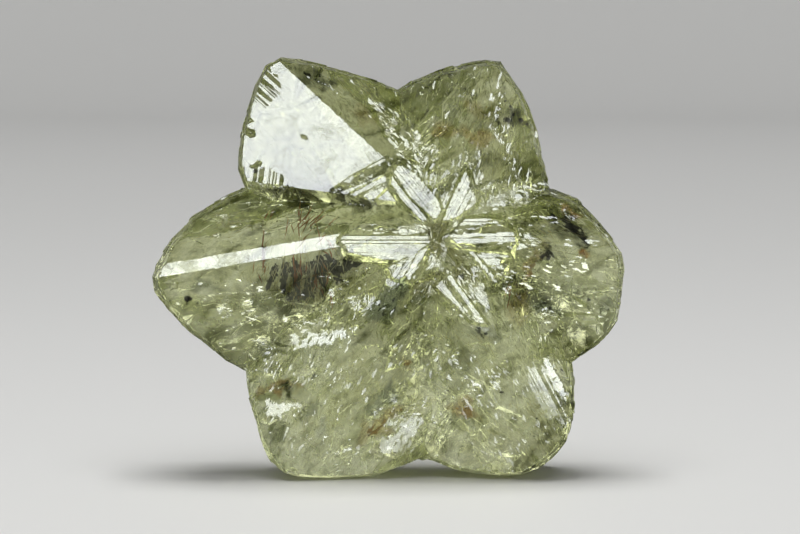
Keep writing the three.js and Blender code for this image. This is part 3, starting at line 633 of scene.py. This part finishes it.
class Nodes:
    # short ways to add and join the nodes of one material
    def __init__(self, tree):
        self.tree = tree

    def put(self, socket, value):
        if isinstance(value, bpy.types.NodeSocket):
            self.tree.links.new(value, socket)
        elif value is not None:
            socket.default_value = value

    def add(self, kind, sockets, **settings):
        node = self.tree.nodes.new("ShaderNode" + kind)
        for name, value in settings.items():
            setattr(node, name, value)
        for name, value in sockets.items():
            self.put(node.inputs[name], value)
        return node

    def stonePlace(self):
        # x, w and h of the surface in the stone's frame, in millimetres
        sockets = {
            "Vector": self.add("TexCoord", {}).outputs["Object"],
            "Location": toStone(np.zeros((1, 3)))[0],
            "Rotation": (stone["lean"] - math.pi / 2, 0, 0),
            "Scale": (1 / mm,) * 3,
        }
        return self.add("Mapping", sockets).outputs["Vector"]

    def attribute(self, name, output="Vector"):
        return self.add("Attribute", {}, attribute_name=name).outputs[output]

    def split(self, vector):
        return self.add("SeparateXYZ", {"Vector": vector}).outputs

    def lineNoise(self, value, scale, detail):
        # noise along one direction alone
        sockets = {"W": self.math("MULTIPLY", value, scale), "Detail": detail, "Roughness": 0.7}
        return self.add("TexNoise", sockets, noise_dimensions="1D").outputs["Fac"]

    def blendValue(self, share, a, b):
        return self.add("Mix", {"Factor": share, "A": a, "B": b}).outputs["Result"]

    def cells(self, place, scale):
        # one random colour for each cell of a broken pattern
        sockets = {"Vector": self.vector("MULTIPLY", place, scale), "Scale": 1}
        return self.add("TexVoronoi", sockets).outputs["Color"]

    def facets(self, place, scale, tilt):
        # one random tip for each cell
        tip = self.vector("SUBTRACT", self.cells(place, scale), (0.5, 0.5, 0.5))
        return self.vector("SCALE", tip, 2 * tilt)

    def blend(self, share, a, b):
        # of two directions
        node = self.add("Mix", {"Factor": share}, data_type="VECTOR")
        for socket, value in (("A", a), ("B", b)):
            self.put(next(i for i in node.inputs if i.name == socket and i.type == "VECTOR"), value)
        return next(o for o in node.outputs if o.type == "VECTOR")

    def within(self, place, at, turn, size):
        # the place as seen from a turned and scaled box
        sockets = {"Vector": place, "Location": at, "Rotation": (0, 0, math.radians(turn)), "Scale": size}
        return self.add("Mapping", sockets, vector_type="TEXTURE").outputs["Vector"]

    def noise(self, place, scale=1, detail=2, roughness=0.5, distortion=0, colour=False):
        sockets = {"Vector": place, "Scale": scale, "Detail": detail, "Roughness": roughness}
        node = self.add("TexNoise", {**sockets, "Distortion": distortion})
        return node.outputs["Color" if colour else "Fac"]

    def ramp(self, value, low, high, start=0, end=1):
        sockets = {"Value": value, "From Min": low, "From Max": high, "To Min": start, "To Max": end}
        return self.add("MapRange", sockets).outputs["Result"]

    def vector(self, operation, a, b=None, output="Vector"):
        sockets = {0: a, "Scale" if operation == "SCALE" else 1: b}
        return self.add("VectorMath", sockets, operation=operation).outputs[output]

    def math(self, operation, a, b=None):
        return self.add("Math", {0: a, 1: b}, operation=operation).outputs["Value"]

    def mix(self, share, a, b):
        # of two fixed colours
        sockets = {"Factor": share, "A": (*a, 1), "B": (*b, 1)}
        return self.add("Mix", sockets, data_type="RGBA").outputs["Result"]


# What light does on the stone and in it. Roughness goes from 0 to 1; pairs go from one end to the other.
surfaceLook = {
    "transmission": 0.9,
    "ior": 1.75,
    "tint": (0.785, 0.825, 0.46),  # that light takes on inside
    "density": 75,
    "mottle": (0.66, 1.22),  # of the colour, from its dark to its light patches
    "square": (0.985, 0.997),  # to the twin axis: from here on a face is smoother, and here polished
    "roughness": (0.28, 0.07),  # from the rim and the back to the front
    "dullPatches": (-0.02, 0.1),  # added to it
    "milky": 0.16,  # added to it where the stone is milky
    "satin": (0.05, 0.30),  # roughness of the polished faces
    "flashDull": 0.12,  # added to that on the facets that flash
    # small flat facets: how many to a mm along a lobe, across it and through it, and how far they tip
    "longFacets": ((0.55, 2.0, 0.6), 0.16),
    "shortFacets": ((1.5, 5.5, 1.2), 0.14),
    "flashFacets": (1.9, 7.0, 1.5),  # those that flash, to a mm in the same directions
    "armLines": (2.3, 3),  # how close the lines on the arms lie, and how finely they vary
    "armEdge": (8.6, 8.2),  # mm from the middle of the star where they end
    "groove": (0.05, 0.0, 0.22),  # how a groove tips the surface
}
# lines cut into flat places: middle, turn and size of the box, and how close they lie
striatedPatches = [
    {"box": ((-9.2, 30.6, 5.9), -42, (2.0, 1.5, 9)), "lines": 0.9},
    {"box": ((-9.2, 23.1, 5.9), 82, (1.2, 2.6, 9)), "lines": 1.3},
    {"box": ((12.2, 6.6, 4.5), -62, (3.2, 1.5, 9)), "lines": 0.9},
]


def chrysoberylMaterial():
    look = surfaceLook
    material, tree, shader = nodesFor("chrysoberyl")
    n = Nodes(tree)
    place = n.stonePlace()
    mottle = n.ramp(n.noise(place, 2.6, 5, 0.75, 0.5), 0.3, 0.68, *look["mottle"])
    colour = n.vector("SCALE", n.attribute("tone", "Color"), mottle)
    n.put(shader.inputs["Base Color"], colour)
    shader.inputs["Transmission Weight"].default_value = look["transmission"]
    shader.inputs["IOR"].default_value = look["ior"]
    # the faces square to the twin axis are the smoothest, the rim and the back the dullest
    geometry = n.add("NewGeometry", {})
    front = (0, -math.cos(stone["lean"]), math.sin(stone["lean"]))
    square = n.vector("DOT_PRODUCT", geometry.outputs["True Normal"], front, "Value")
    polished = n.ramp(square, *look["square"])
    unpolished = n.ramp(square, *look["square"], 1, 0)
    glintShare, calm, hazy = n.split(n.attribute("finish"))
    rough = n.ramp(square, 0.2, 0.6, *look["roughness"])
    rough = n.math("ADD", rough, n.ramp(n.noise(place, 0.55, 3, 0.65), 0.4, 0.7, *look["dullPatches"]))
    rough = n.math("MULTIPLY", rough, n.ramp(calm, 0, 1, 1, 0.4))
    rough = n.math("ADD", rough, n.ramp(hazy, 0, 1, 0, look["milky"]))
    rubbed = n.ramp(n.noise(place, 0.45, 4, 0.7, 0.5), 0.48, 0.72, *look["satin"])
    # small flat facets drawn out along the lobes, in patches
    bend = n.noise(place, 1.0, 2, 0.5, 0, True)
    lobe = n.vector("ADD", n.attribute("lobePlace"), n.vector("SCALE", bend, 0.6))
    amount = n.math("MULTIPLY", n.ramp(n.noise(place, 0.42, 3, 0.6), 0.47, 0.62, 0.12, 1), unpolished)
    amount = n.math("MULTIPLY", amount, n.ramp(calm, 0, 1, 1, 0.1))
    amount = n.math("MULTIPLY", amount, n.ramp(hazy, 0, 1, 1, 0.55))
    tips = n.vector("ADD", n.facets(lobe, *look["longFacets"]), n.facets(lobe, *look["shortFacets"]))
    tips = n.vector("SCALE", tips, amount)
    # here and there a small facet lies square to the twin axis and flashes
    chance, _, _ = n.split(n.cells(lobe, look["flashFacets"]))
    rarity = n.ramp(n.noise(place, 0.5, 2, 0.6), 0.45, 0.70, 0.999, 0.95)
    rarity = n.math("SUBTRACT", rarity, glintShare)
    flashing = n.math("MULTIPLY", n.ramp(n.math("SUBTRACT", chance, rarity), 0, 0.01), unpolished)
    flashing = n.math("MULTIPLY", flashing, n.ramp(calm, 0, 1, 1, 0))
    flat = n.math("MAXIMUM", polished, flashing)
    satin = n.math("ADD", rubbed, n.math("MULTIPLY", flashing, look["flashDull"]))
    n.put(shader.inputs["Roughness"], n.blendValue(flat, rough, satin))
    # straight fine lines along the arms of the star, which tip away from the face between them
    _, across, _ = n.split(n.attribute("armPlace"))
    fromStar = n.vector("DISTANCE", place, (*stone["star"], 6.5), "Value")
    starOnly = n.math("MULTIPLY", polished, n.ramp(fromStar, *look["armEdge"]))
    grooves = n.math("MULTIPLY", n.ramp(n.lineNoise(across, *look["armLines"]), 0.59, 0.605), starOnly)
    # and striated patches at the edges of the great face and on the lower right lobe
    for patch in striatedPatches:
        inside = n.within(n.vector("ADD", place, n.vector("SCALE", bend, 1.2)), *patch["box"])
        _, strokes, _ = n.split(n.within(place, *patch["box"]))
        inPatch = n.math("MULTIPLY", flat, n.ramp(n.vector("LENGTH", inside, None, "Value"), 1.02, 0.94))
        lines = n.ramp(n.lineNoise(strokes, patch["lines"], 2), 0.49, 0.52)
        grooves = n.math("MAXIMUM", grooves, n.math("MULTIPLY", inPatch, lines))
    cut = n.vector("SCALE", look["groove"], grooves)
    tips = n.vector("ADD", tips, cut)
    tipped = n.vector("NORMALIZE", n.vector("ADD", geometry.outputs["Normal"], tips))
    facing = n.vector("SCALE", front, n.math("SIGN", square))
    faced = n.vector("ADD", n.vector("ADD", facing, cut), n.vector("SCALE", tips, 0.1))
    faced = n.vector("NORMALIZE", faced)
    n.put(shader.inputs["Normal"], n.blend(flashing, tipped, faced))
    absorb = n.add("VolumeAbsorption", {"Color": (*look["tint"], 1), "Density": look["density"]})
    n.put(tree.nodes["Material Output"].inputs["Volume"], absorb.outputs["Volume"])
    return material


# What has grown or healed inside the stone, and dark sheets of painted shade. Each sheet: place, turn, half
# length and half width in mm, depth under the front in mm, tilt along and across in degrees, and how full it
# is.
veils = rowsOf(
    "at turn size depth tilt full",
    ((-11.2, 19.4), 10, (2.0, 1.1), 0.6, (3, 12), 0.45),
    ((-6.6, 14.2), 30, (1.6, 0.9), 0.5, (3, 8), 0.3),
    ((-12.2, 12.6), 8, (2.6, 1.5), 0.9, (4, 10), 0.5),
    ((-9.0, 10.4), -10, (2.4, 1.2), 1.2, (8, -6), 0.35),
    ((-13.2, 15.2), 10, (2.2, 0.7), 0.8, (2, 14), 0.3),
    ((-6.3, 4.6), 60, (2.7, 1.6), 1.0, (6, 8), 0.4),
    ((-7.4, 7.9), 20, (1.9, 1.0), 0.6, (-6, 12), 0.5),
    ((-3.6, 7.0), 40, (2.6, 1.3), 1.3, (5, -14), 0.35),
    ((-1.4, 9.2), 30, (2.2, 1.3), 0.8, (9, 9), 0.45),
    ((-3.2, 12.9), 35, (1.6, 0.8), 0.5, (10, -8), 0.5),
    ((1.0, 3.2), 30, (2.3, 1.2), 0.7, (4, 12), 0.6),
    ((3.6, 8.4), -60, (2.2, 1.0), 0.9, (12, 8), 0.4),
    ((4.3, 11.7), -75, (2.0, 1.1), 0.7, (-8, 10), 0.4),
    ((6.1, 9.5), -55, (1.9, 1.3), 1.4, (10, 10), 0.55),
    ((9.9, 4.2), -50, (2.7, 1.4), 1.0, (6, -10), 0.4),
    ((12.0, 6.2), -60, (1.8, 1.0), 0.8, (5, 10), 0.35),
    ((13.6, 15.2), -12, (2.4, 1.3), 0.9, (8, 12), 0.4),
    ((15.6, 14.0), 30, (1.7, 1.0), 0.8, (6, 6), 0.45),
    ((11.2, 19.0), -10, (1.9, 0.8), 0.7, (4, 14), 0.35),
    ((6.6, 25.4), 75, (2.3, 1.1), 1.0, (8, 14), 0.35),
    ((9.4, 24.6), -60, (2.3, 0.8), 0.8, (6, -12), 0.35),
    ((4.0, 24.0), -20, (1.8, 1.0), 0.6, (12, 4), 0.4),
    ((-3.2, 29.2), -35, (2.6, 0.8), 0.8, (4, 10), 0.3),
    ((0.2, 22.4), -10, (2.4, 0.8), 0.6, (6, 10), 0.45),
    ((-8.6, 18.9), 10, (3.0, 0.7), 1.1, (3, 12), 0.25),
)
stains = rowsOf(
    "at turn size depth tilt full",
    ((-8.2, 6.8), 18, (1.7, 0.42), 0.35, (4, 10), 0.61),
    ((-0.6, 4.2), 38, (2.6, 0.6), 0.5, (4, 10), 0.39),
    ((6.0, 5.2), -30, (1.2, 0.7), 0.4, (6, 8), 0.52),
    ((1.5, 9.0), 10, (0.6, 0.45), 0.35, (4, 8), 0.52),
    ((5.2, 26.2), -12, (2.4, 0.55), 0.6, (6, 12), 0.35),
    ((6.8, 28.1), -25, (1.4, 0.6), 0.5, (6, 12), 0.26),
    ((13.7, 20.2), -40, (1.0, 0.4), 0.4, (6, 6), 0.52),
    ((14.6, 17.2), 30, (0.5, 0.4), 0.35, (0, 8), 0.62),
    ((11.0, 16.2), 68, (1.9, 0.6), 0.45, (6, 8), 0.43),
    ((9.9, 13.4), 85, (1.7, 0.5), 0.5, (6, 8), 0.26),
    ((-3.4, 17.2), 60, (1.2, 0.5), 0.6, (6, 8), 0.26),
    ((-2.4, 27.6), -35, (1.4, 0.5), 0.6, (6, 8), 0.22),
)
# painted shade: dark sheets under the front where the stone looks dark, as in the window
shadows = rowsOf(
    "at turn size depth tilt full",
    ((-8.6, 15.6), 70, (1.5, 0.45), 0.9, (2, 8), 0.8),
    ((-7.7, 15.7), 82, (1.9, 0.5), 0.8, (2, 8), 0.85),
    ((-6.8, 15.6), 95, (2.1, 0.55), 0.8, (2, 8), 0.85),
    ((-5.8, 15.4), 78, (2.2, 0.5), 0.9, (2, 8), 0.85),
    ((-4.9, 15.9), 100, (2.0, 0.55), 0.8, (2, 8), 0.85),
    ((-4.0, 16.2), 112, (1.9, 0.5), 0.8, (2, 8), 0.85),
    ((-3.1, 16.4), 60, (1.5, 0.5), 0.8, (2, 8), 0.8),
    ((-2.3, 16.6), 40, (1.2, 0.4), 0.8, (2, 8), 0.8),
    ((-6.0, 14.4), 10, (2.6, 0.7), 1.3, (2, 6), 0.7),
    ((-5.4, 16.4), 10, (3.2, 0.7), 1.4, (2, 6), 0.75),
    ((0.1, 13.4), 60, (1.7, 0.9), 1.6, (2, 8), 0.45),
    ((13.6, 18.9), -40, (2.3, 0.9), 0.9, (2, 8), 0.62),
    ((11.8, 17.0), 70, (0.9, 0.6), 1.2, (2, 8), 0.55),
    ((-5.4, 30.3), -22, (2.0, 0.6), 0.9, (2, 8), 0.5),
    ((8.9, 27.1), -30, (0.9, 0.5), 0.9, (2, 8), 0.5),
    ((5.8, 15.0), -45, (1.6, 0.6), 1.4, (2, 8), 0.4),
    ((7.0, 11.4), -25, (1.4, 0.6), 1.4, (2, 8), 0.4),
    ((12.2, 13.2), -10, (1.4, 0.6), 1.2, (2, 8), 0.45),
    ((-0.8, 6.0), 36, (1.6, 0.5), 1.4, (2, 8), 0.4),
    ((11.0, 13.8), 80, (2.0, 0.6), 1.5, (2, 8), 0.35),
    ((6.4, 29.0), -20, (2.0, 0.6), 1.5, (2, 8), 0.35),
)
# Black grains: place and half length in mm.
grains = [
    (-15.0, 13.85, 0.34), (-14.3, 13.5, 0.12), (-7.2, 6.85, 0.18), (-9.9, 23.3, 0.22), (-10.4, 22.9, 0.16),
    (-9.4, 23.6, 0.14), (-6.4, 25.0, 0.14), (10.0, 27.2, 0.24), (9.4, 27.6, 0.2), (10.5, 26.9, 0.16),
    (9.2, 28.2, 0.12), (8.8, 28.6, 0.1), (13.4, 2.9, 0.2), (13.1, 8.3, 0.16), (6.9, 11.6, 0.14),
    (6.4, 11.9, 0.12), (7.4, 11.2, 0.12), (15.2, 13.7, 0.14), (11.6, 17.0, 0.18), (12.0, 17.6, 0.14),
    (2.3, 11.2, 0.08), (-1.2, 3.4, 0.09), (4.6, 6.9, 0.09), (8.6, 6.8, 0.12), (11.3, 4.8, 0.09),
]
# Needles and fibres: where they cluster and how widely, how many, and the spans of heading and length in
# mm. Where a group differs from innerLook, its thickness and its depth under the front follow.
needleGroups = rowsOf(
    "at spread count heading length",
    ((-8.6, 19.9), (0.5, 0.3), 5, (50, 90), (0.6, 1.2)),
    ((-6.0, 19.2), (1.4, 1.0), 18, (40, 110), (1.0, 2.8)),
    ((-9.3, 17.6), (0.15, 1.5), 6, (80, 95), (1.8, 3.0)),
    ((-4.4, 18.0), (0.5, 0.8), 5, (100, 150), (0.6, 1.6)),
    ((-6.0, 15.6), (2.4, 1.2), 26, (55, 125), (0.8, 3.0)),
    ((9.2, 13.8), (0.3, 0.6), 4, (70, 95), (0.8, 1.6)),
    ((14.0, 20.0), (0.5, 0.4), 4, (-60, -20), (0.5, 1.2)),
)
fibreGroups = rowsOf(
    "at spread count heading length thickness depth",
    ((-5.7, 15.5), (2.7, 1.3), 70, (55, 125), (0.8, 3.0), (0.06, 0.12), (0.2, 0.55)),
    ((-5.8, 15.4), (2.8, 1.6), 220, (50, 130), (0.8, 3.2)),
    ((-2.6, 15.6), (1.2, 1.2), 70, (30, 100), (0.6, 2.2)),
    ((-12.0, 19.0), (2.2, 0.9), 60, (0, 60), (0.4, 1.4)),
    ((-3.0, 29.4), (2.4, 0.9), 50, (-70, -20), (0.5, 1.8)),
    ((8.6, 26.6), (2.4, 3.0), 150, (40, 100), (0.5, 2.0)),
    ((13.4, 18.6), (2.4, 1.4), 90, (-60, 0), (0.5, 1.8)),
    ((9.8, 13.0), (0.8, 2.2), 60, (60, 110), (0.6, 2.0)),
    ((5.4, 9.8), (2.0, 2.0), 120, (-90, -20), (0.4, 1.8)),
    ((-1.5, 7.0), (3.0, 3.0), 160, (20, 90), (0.4, 1.8)),
    ((-6.8, 4.6), (2.0, 3.0), 90, (40, 110), (0.4, 1.6)),
    ((10.4, 5.0), (2.6, 2.6), 120, (-90, -20), (0.4, 1.6)),
)
innerLook = {
    "cell": 0.11,  # mm, of the grid that a sheet is made on
    "sheetThickness": 0.02,
    "cover": 0.3,  # mm that must stay between the sheets and the faces of the stone
    "needleThickness": (0.10, 0.19),
    "needleDepth": (0.15, 0.3),  # mm under the front
    "fibreThickness": (0.03, 0.085),
    "fibreDepth": (0.25, 1.4),
    "seed": 11,
}


def throughStone(tree, x, w):
    # heights of the back and front faces at a place in the plane, in millimetres, or None
    reach = 12.0
    start, end = Vector(toFrame(x, w, reach)), Vector(toFrame(x, w, -reach))
    way = (end - start).normalized()
    front, back = tree.ray_cast(start, way), tree.ray_cast(end, -way)
    if front[0] is None or back[0] is None:
        return None
    return back[3] / mm - reach, reach - front[3] / mm


def joined(parts):
    # several closed bodies, as points and faces, in one
    points, faces = [], []
    for some, their in parts:
        faces += [tuple(i + len(points) for i in face) for face in their]
        points += [tuple(point) for point in some]
    return np.array(points), faces


def sheetOf(tree, look, number):
    # a thin closed sheet with ragged edges and holes, as a healed crack has
    cell, thick = innerLook["cell"], innerLook["sheetThickness"]
    half = [int(size / cell) for size in look["size"]]
    i, j = np.meshgrid(np.arange(-half[0], half[0] + 1), np.arange(-half[1], half[1] + 1), indexing="ij")
    u, v = i * cell, j * cell
    seed = 1000 + 7 * number
    edge = np.hypot(u / look["size"][0], v / look["size"][1])
    holes = 0.6 * valueNoise(u / 0.7, v / 0.3, seed) + 0.4 * valueNoise(u / 0.25, v / 0.15, seed + 1)
    keep = holes > 1 - look["full"] * (1.25 - edge**2)
    keep[edge > 1] = False
    a = math.radians(look["turn"])
    x = look["at"][0] + u * math.cos(a) - v * math.sin(a)
    w = look["at"][1] + u * math.sin(a) + v * math.cos(a)
    middle = throughStone(tree, *look["at"])[1] - look["depth"]
    slopes = [math.tan(math.radians(t)) for t in look["tilt"]]
    h = middle + slopes[0] * u + slopes[1] * v + 0.14 * (valueNoise(u / 0.5, v / 0.4, seed + 2) - 0.5)
    for index in np.argwhere(keep):
        index = tuple(index)
        span = throughStone(tree, x[index], w[index])
        if span is None or span[1] - span[0] < 4 * innerLook["cover"]:
            keep[index] = False
        else:
            h[index] = np.clip(h[index], span[0] + innerLook["cover"], span[1] - innerLook["cover"])
    full = keep[:-1, :-1] & keep[1:, :-1] & keep[:-1, 1:] & keep[1:, 1:]
    for _ in range(3):  # no two cells meet at a corner alone
        lone = full[:-1, :-1] & full[1:, 1:] & ~full[1:, :-1] & ~full[:-1, 1:]
        other = full[1:, :-1] & full[:-1, 1:] & ~full[:-1, :-1] & ~full[1:, 1:]
        full[:-1, :-1] &= ~lone
        full[1:, :-1] &= ~other
    cells = [tuple(c) for c in np.argwhere(full)]
    inside = set(cells)
    points, faces, numberOf = [], [], {}

    def corner(a, b, top):
        key = (a, b, top)
        if key not in numberOf:
            numberOf[key] = len(points)
            points.append((x[a, b], w[a, b], h[a, b] + (thick / 2 if top else -thick / 2)))
        return numberOf[key]

    for a, b in cells:
        ring = [(a, b), (a + 1, b), (a + 1, b + 1), (a, b + 1)]
        faces.append([corner(*c, True) for c in ring])
        faces.append([corner(*c, False) for c in reversed(ring)])
        beside = [(a, b - 1), (a + 1, b), (a, b + 1), (a - 1, b)]
        for k in range(4):
            if beside[k] not in inside:
                c, d = ring[k], ring[(k + 1) % 4]
                faces.append([corner(*c, False), corner(*d, False), corner(*d, True), corner(*c, True)])
    return points, faces


def needle(at, heading, tilt, length, thickness):
    # a closed needle, pointed at both ends
    a, t = math.radians(heading), math.radians(tilt)
    f = np.array([math.cos(a) * math.cos(t), math.sin(a) * math.cos(t), math.sin(t)])
    u = np.cross(f, [0.0, 0.0, 1.0])
    u /= np.linalg.norm(u)
    v = np.cross(f, u)
    angles = [2 * math.pi * k / 3 for k in range(3)]
    ring = [math.cos(angle) * u + math.sin(angle) * v for angle in angles]
    at = np.array(at)
    points = [at - f * length / 2] + [at + r * thickness / 2 for r in ring] + [at + f * length / 2]
    faces = [(0, 2, 1), (0, 3, 2), (0, 1, 3), (4, 1, 2), (4, 2, 3), (4, 3, 1)]
    return points, faces


def needlesOf(tree, groups, thickness, depth, rng):
    made = []
    for group in groups:
        for _ in range(group["count"]):
            x, w = rng.normal(group["at"], np.array(group["spread"]) * 0.6)
            heading, length = rng.uniform(*group["heading"]), rng.uniform(*group["length"])
            tilt, under = rng.normal(0, 6), rng.uniform(*group.get("depth", depth))
            a = math.radians(heading)
            reach = 0.5 * length * np.array([math.cos(a), math.sin(a)])
            ends = [throughStone(tree, x + k * reach[0], w + k * reach[1]) for k in (-1, 0, 1)]
            if None in ends:
                continue
            h = min(end[1] for end in ends) - under - 0.5 * length * abs(math.sin(math.radians(tilt)))
            if h < max(end[0] for end in ends) + innerLook["cover"]:
                continue
            thick = rng.uniform(*group.get("thickness", thickness))
            made.append(needle((x, w, h), heading, tilt, length, thick))
    return made


def grainOf(tree, x, w, size, number):
    # a small black grain with flat, uneven sides
    mesh = bmesh.new()
    bmesh.ops.create_icosphere(mesh, subdivisions=2, radius=1)
    front = throughStone(tree, x, w)[1]
    points = np.array([v.co for v in mesh.verts])
    rough = 0.75 + 0.5 * valueNoise(points[:, 0] * 2 + number, points[:, 1] * 2 + points[:, 2], 77 + number)
    points = points * rough[:, None] * size * np.array([1, 0.7, 0.5])
    faces = [tuple(v.index for v in f.verts) for f in mesh.faces]
    mesh.free()
    return points + np.array([x, w, front - innerLook["cover"] - 0.5 * size]), faces


# What each inner piece is made of, the shadows being painted shade: name, its two colours, roughness and
# specular level.
innerFinishes = {
    "veils": ("veil", (0.95, 0.96, 0.84), (0.86, 0.89, 0.66), 0.45, 0.5),
    "ironStains": ("ironStain", (0.50, 0.36, 0.17), (0.74, 0.62, 0.38), 0.6, 0.2),
    "shadows": ("paintedShadeSheet", (0.006, 0.007, 0.004), (0.05, 0.053, 0.028), 0.6, 0.0),
    "blackGrains": ("blackGrain", (0.012, 0.012, 0.010), (0.05, 0.045, 0.03), 0.5, 0.1),
    "needles": ("rustNeedle", (0.40, 0.09, 0.02), (0.42, 0.20, 0.05), 0.5, 0.2),
    "fibres": ("paleFibre", (0.95, 0.95, 0.74), (0.66, 0.58, 0.32), 0.45, 0.5),
}


def innerMaterial(name, colour, other, roughness, specular):
    # two colours in fine uneven streaks
    material, nodes, shader = nodesFor(name)
    n = Nodes(nodes)
    place = n.stonePlace()
    patches = n.ramp(n.noise(place, 1.6, 4, 0.65, 0.5), 0.38, 0.62)
    n.put(shader.inputs["Base Color"], n.mix(patches, colour, other))
    rough = n.ramp(n.noise(place, 3, 3), 0.3, 0.7, roughness - 0.12, roughness + 0.12)
    n.put(shader.inputs["Roughness"], rough)
    shader.inputs["Specular IOR Level"].default_value = specular
    return material


def buildInside(tree):
    rng = np.random.default_rng(innerLook["seed"])
    look = innerLook
    needles = needlesOf(tree, needleGroups, look["needleThickness"], look["needleDepth"], rng)
    fibres = needlesOf(tree, fibreGroups, look["fibreThickness"], look["fibreDepth"], rng)
    bodies = {
        "veils": [sheetOf(tree, sheet, k) for k, sheet in enumerate(veils)],
        "ironStains": [sheetOf(tree, sheet, 50 + k) for k, sheet in enumerate(stains)],
        "shadows": [sheetOf(tree, sheet, 100 + k) for k, sheet in enumerate(shadows)],
        "blackGrains": [grainOf(tree, *grain, k) for k, grain in enumerate(grains)],
        "needles": needles,
        "fibres": fibres,
    }
    pieces = []
    for name, parts in bodies.items():
        points, faces = joined(parts)
        piece = meshObject(name, toFrame(*points.T), faces)
        piece.data.materials.append(innerMaterial(*innerFinishes[name]))
        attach(piece, "root")
        pieces.append(piece)
        print(name + ":", len(parts), "bodies,", len(faces), "faces")
    return pieces


studio = {
    "floor": {"flat": 0.8, "turn": 0.5, "wall": 1.1},  # m
    "floorFinish": {"Base Color": (0.62, 0.62, 0.61, 1), "Roughness": 0.55, "Specular IOR Level": 0.25},
    "view": {"elevation": 4.5, "distance": 0.256, "across": 0.0612, "aim": (0.00092, 0.0, 0.01585)},
    "panels": {
        # place, size, radiance and what it lights; each faces the stone
        "front": {"at": (0.0, -0.46, 0.082), "size": (0.20, 0.155), "radiance": 9, "lights": "stone"},
        "fillLeft": {"at": (-0.22, -0.20, 0.14), "size": (0.22, 0.20), "radiance": 0.3, "lights": "stone"},
        "fillRight": {"at": (0.22, -0.20, 0.14), "size": (0.22, 0.20), "radiance": 0.2, "lights": "stone"},
        "glowTop": {"at": (0.02, 0.15, 0.16), "size": (0.24, 0.12), "radiance": 3.2, "lights": "stone"},
        "glowLeft": {"at": (-0.19, 0.11, 0.06), "size": (0.12, 0.12), "radiance": 5.5, "lights": "stone"},
        "glowRight": {"at": (0.19, 0.11, 0.06), "size": (0.12, 0.12), "radiance": 4.5, "lights": "stone"},
        "floorNear": {"at": (0.0, -0.08, 0.25), "size": (0.24, 0.16), "radiance": 2.5, "lights": "floor"},
        "floorTop": {"at": (0.0, 0.15, 1.60), "size": (0.90, 0.70), "radiance": 10, "lights": "floor"},
    },
    "lampColour": (0.93, 0.97, 1.0),  # of the front panel, a little cool
    "centre": (0, 0, 0.016),
    "world": 0.03,
}


def buildFloor():
    # a round floor that turns up softly into a low wall far from the stone
    steps, segments = 24, 96
    flat, turn, wall = studio["floor"]["flat"], studio["floor"]["turn"], studio["floor"]["wall"]
    profile = [(flat * k / 4, 0) for k in range(1, 5)]
    for k in range(1, steps + 1):
        a = k / steps * math.pi / 2
        profile.append((flat + turn * math.sin(a), turn * (1 - math.cos(a))))
    profile.append((flat + turn, wall))
    points = [(0, 0, 0)]
    for radius, height in profile:
        for k in range(segments):
            a = 2 * math.pi * k / segments
            points.append((radius * math.cos(a), radius * math.sin(a), height))
    faces = [(0, 1 + k, 1 + (k + 1) % segments) for k in range(segments)]
    for ring in range(len(profile) - 1):
        low, high = 1 + ring * segments, 1 + (ring + 1) * segments
        for k in range(segments):
            after = (k + 1) % segments
            faces.append((low + k, high + k, high + after, low + after))
    floor = meshObject("floor", points, faces)
    for face in floor.data.polygons:
        face.use_smooth = True
    material, _, shader = nodesFor("paleFloor")
    for socket, value in studio["floorFinish"].items():
        shader.inputs[socket].default_value = value
    floor.data.materials.append(material)
    floor.visible_glossy = False  # the stone mirrors the lamps alone
    return floor


def buildLights(stonePieces, floor):
    lit = {"stone": bpy.data.collections.new("stoneLit"), "floor": bpy.data.collections.new("floorLit")}
    for piece in stonePieces:
        lit["stone"].objects.link(piece)
    lit["floor"].objects.link(floor)
    for name, panel in studio["panels"].items():
        light = bpy.data.lights.new(name, "AREA")
        light.shape = "RECTANGLE"
        light.size, light.size_y = panel["size"]
        light.energy = panel["radiance"] * math.pi * light.size * light.size_y
        if name == "front":
            light.color = studio["lampColour"]
        obj = bpy.data.objects.new(name, light)
        obj.location = panel["at"]
        obj.rotation_euler = (Vector(studio["centre"]) - obj.location).to_track_quat("-Z", "Y").to_euler()
        obj.visible_camera = False
        bpy.context.scene.collection.objects.link(obj)
        obj.light_linking.receiver_collection = lit[panel["lights"]]
        obj.visible_glossy = not name.startswith("glow")
    world = bpy.data.worlds.new("studio")
    world.use_nodes = True
    background = world.node_tree.nodes["Background"]
    background.inputs["Color"].default_value = (studio["world"],) * 3 + (1,)
    bpy.context.scene.world = world


def buildCamera():
    view = studio["view"]
    data = bpy.data.cameras.new("camera")
    data.sensor_width = 36
    data.lens = 36 * view["distance"] / view["across"]
    data.clip_start = 0.01
    obj = bpy.data.objects.new("camera", data)
    up = math.radians(view["elevation"])
    away = Vector((0, -math.cos(up), math.sin(up)))
    obj.location = Vector(view["aim"]) + away * view["distance"]
    obj.rotation_euler = (-away).to_track_quat("-Z", "Y").to_euler()
    bpy.context.scene.collection.objects.link(obj)
    bpy.context.scene.camera = obj


crystal = buildCrystal()
crystal.data.materials.clear()
crystal.data.materials.append(chrysoberylMaterial())
inside = buildInside(treeOf(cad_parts["crystal"]))
buildLights([crystal] + inside, buildFloor())
buildCamera()
print("floor, lights and camera done")
scene = bpy.context.scene
scene.cycles.max_bounces = 16
scene.cycles.transmission_bounces = 16
scene.cycles.glossy_bounces = 8
scene.view_settings.view_transform = "Standard"
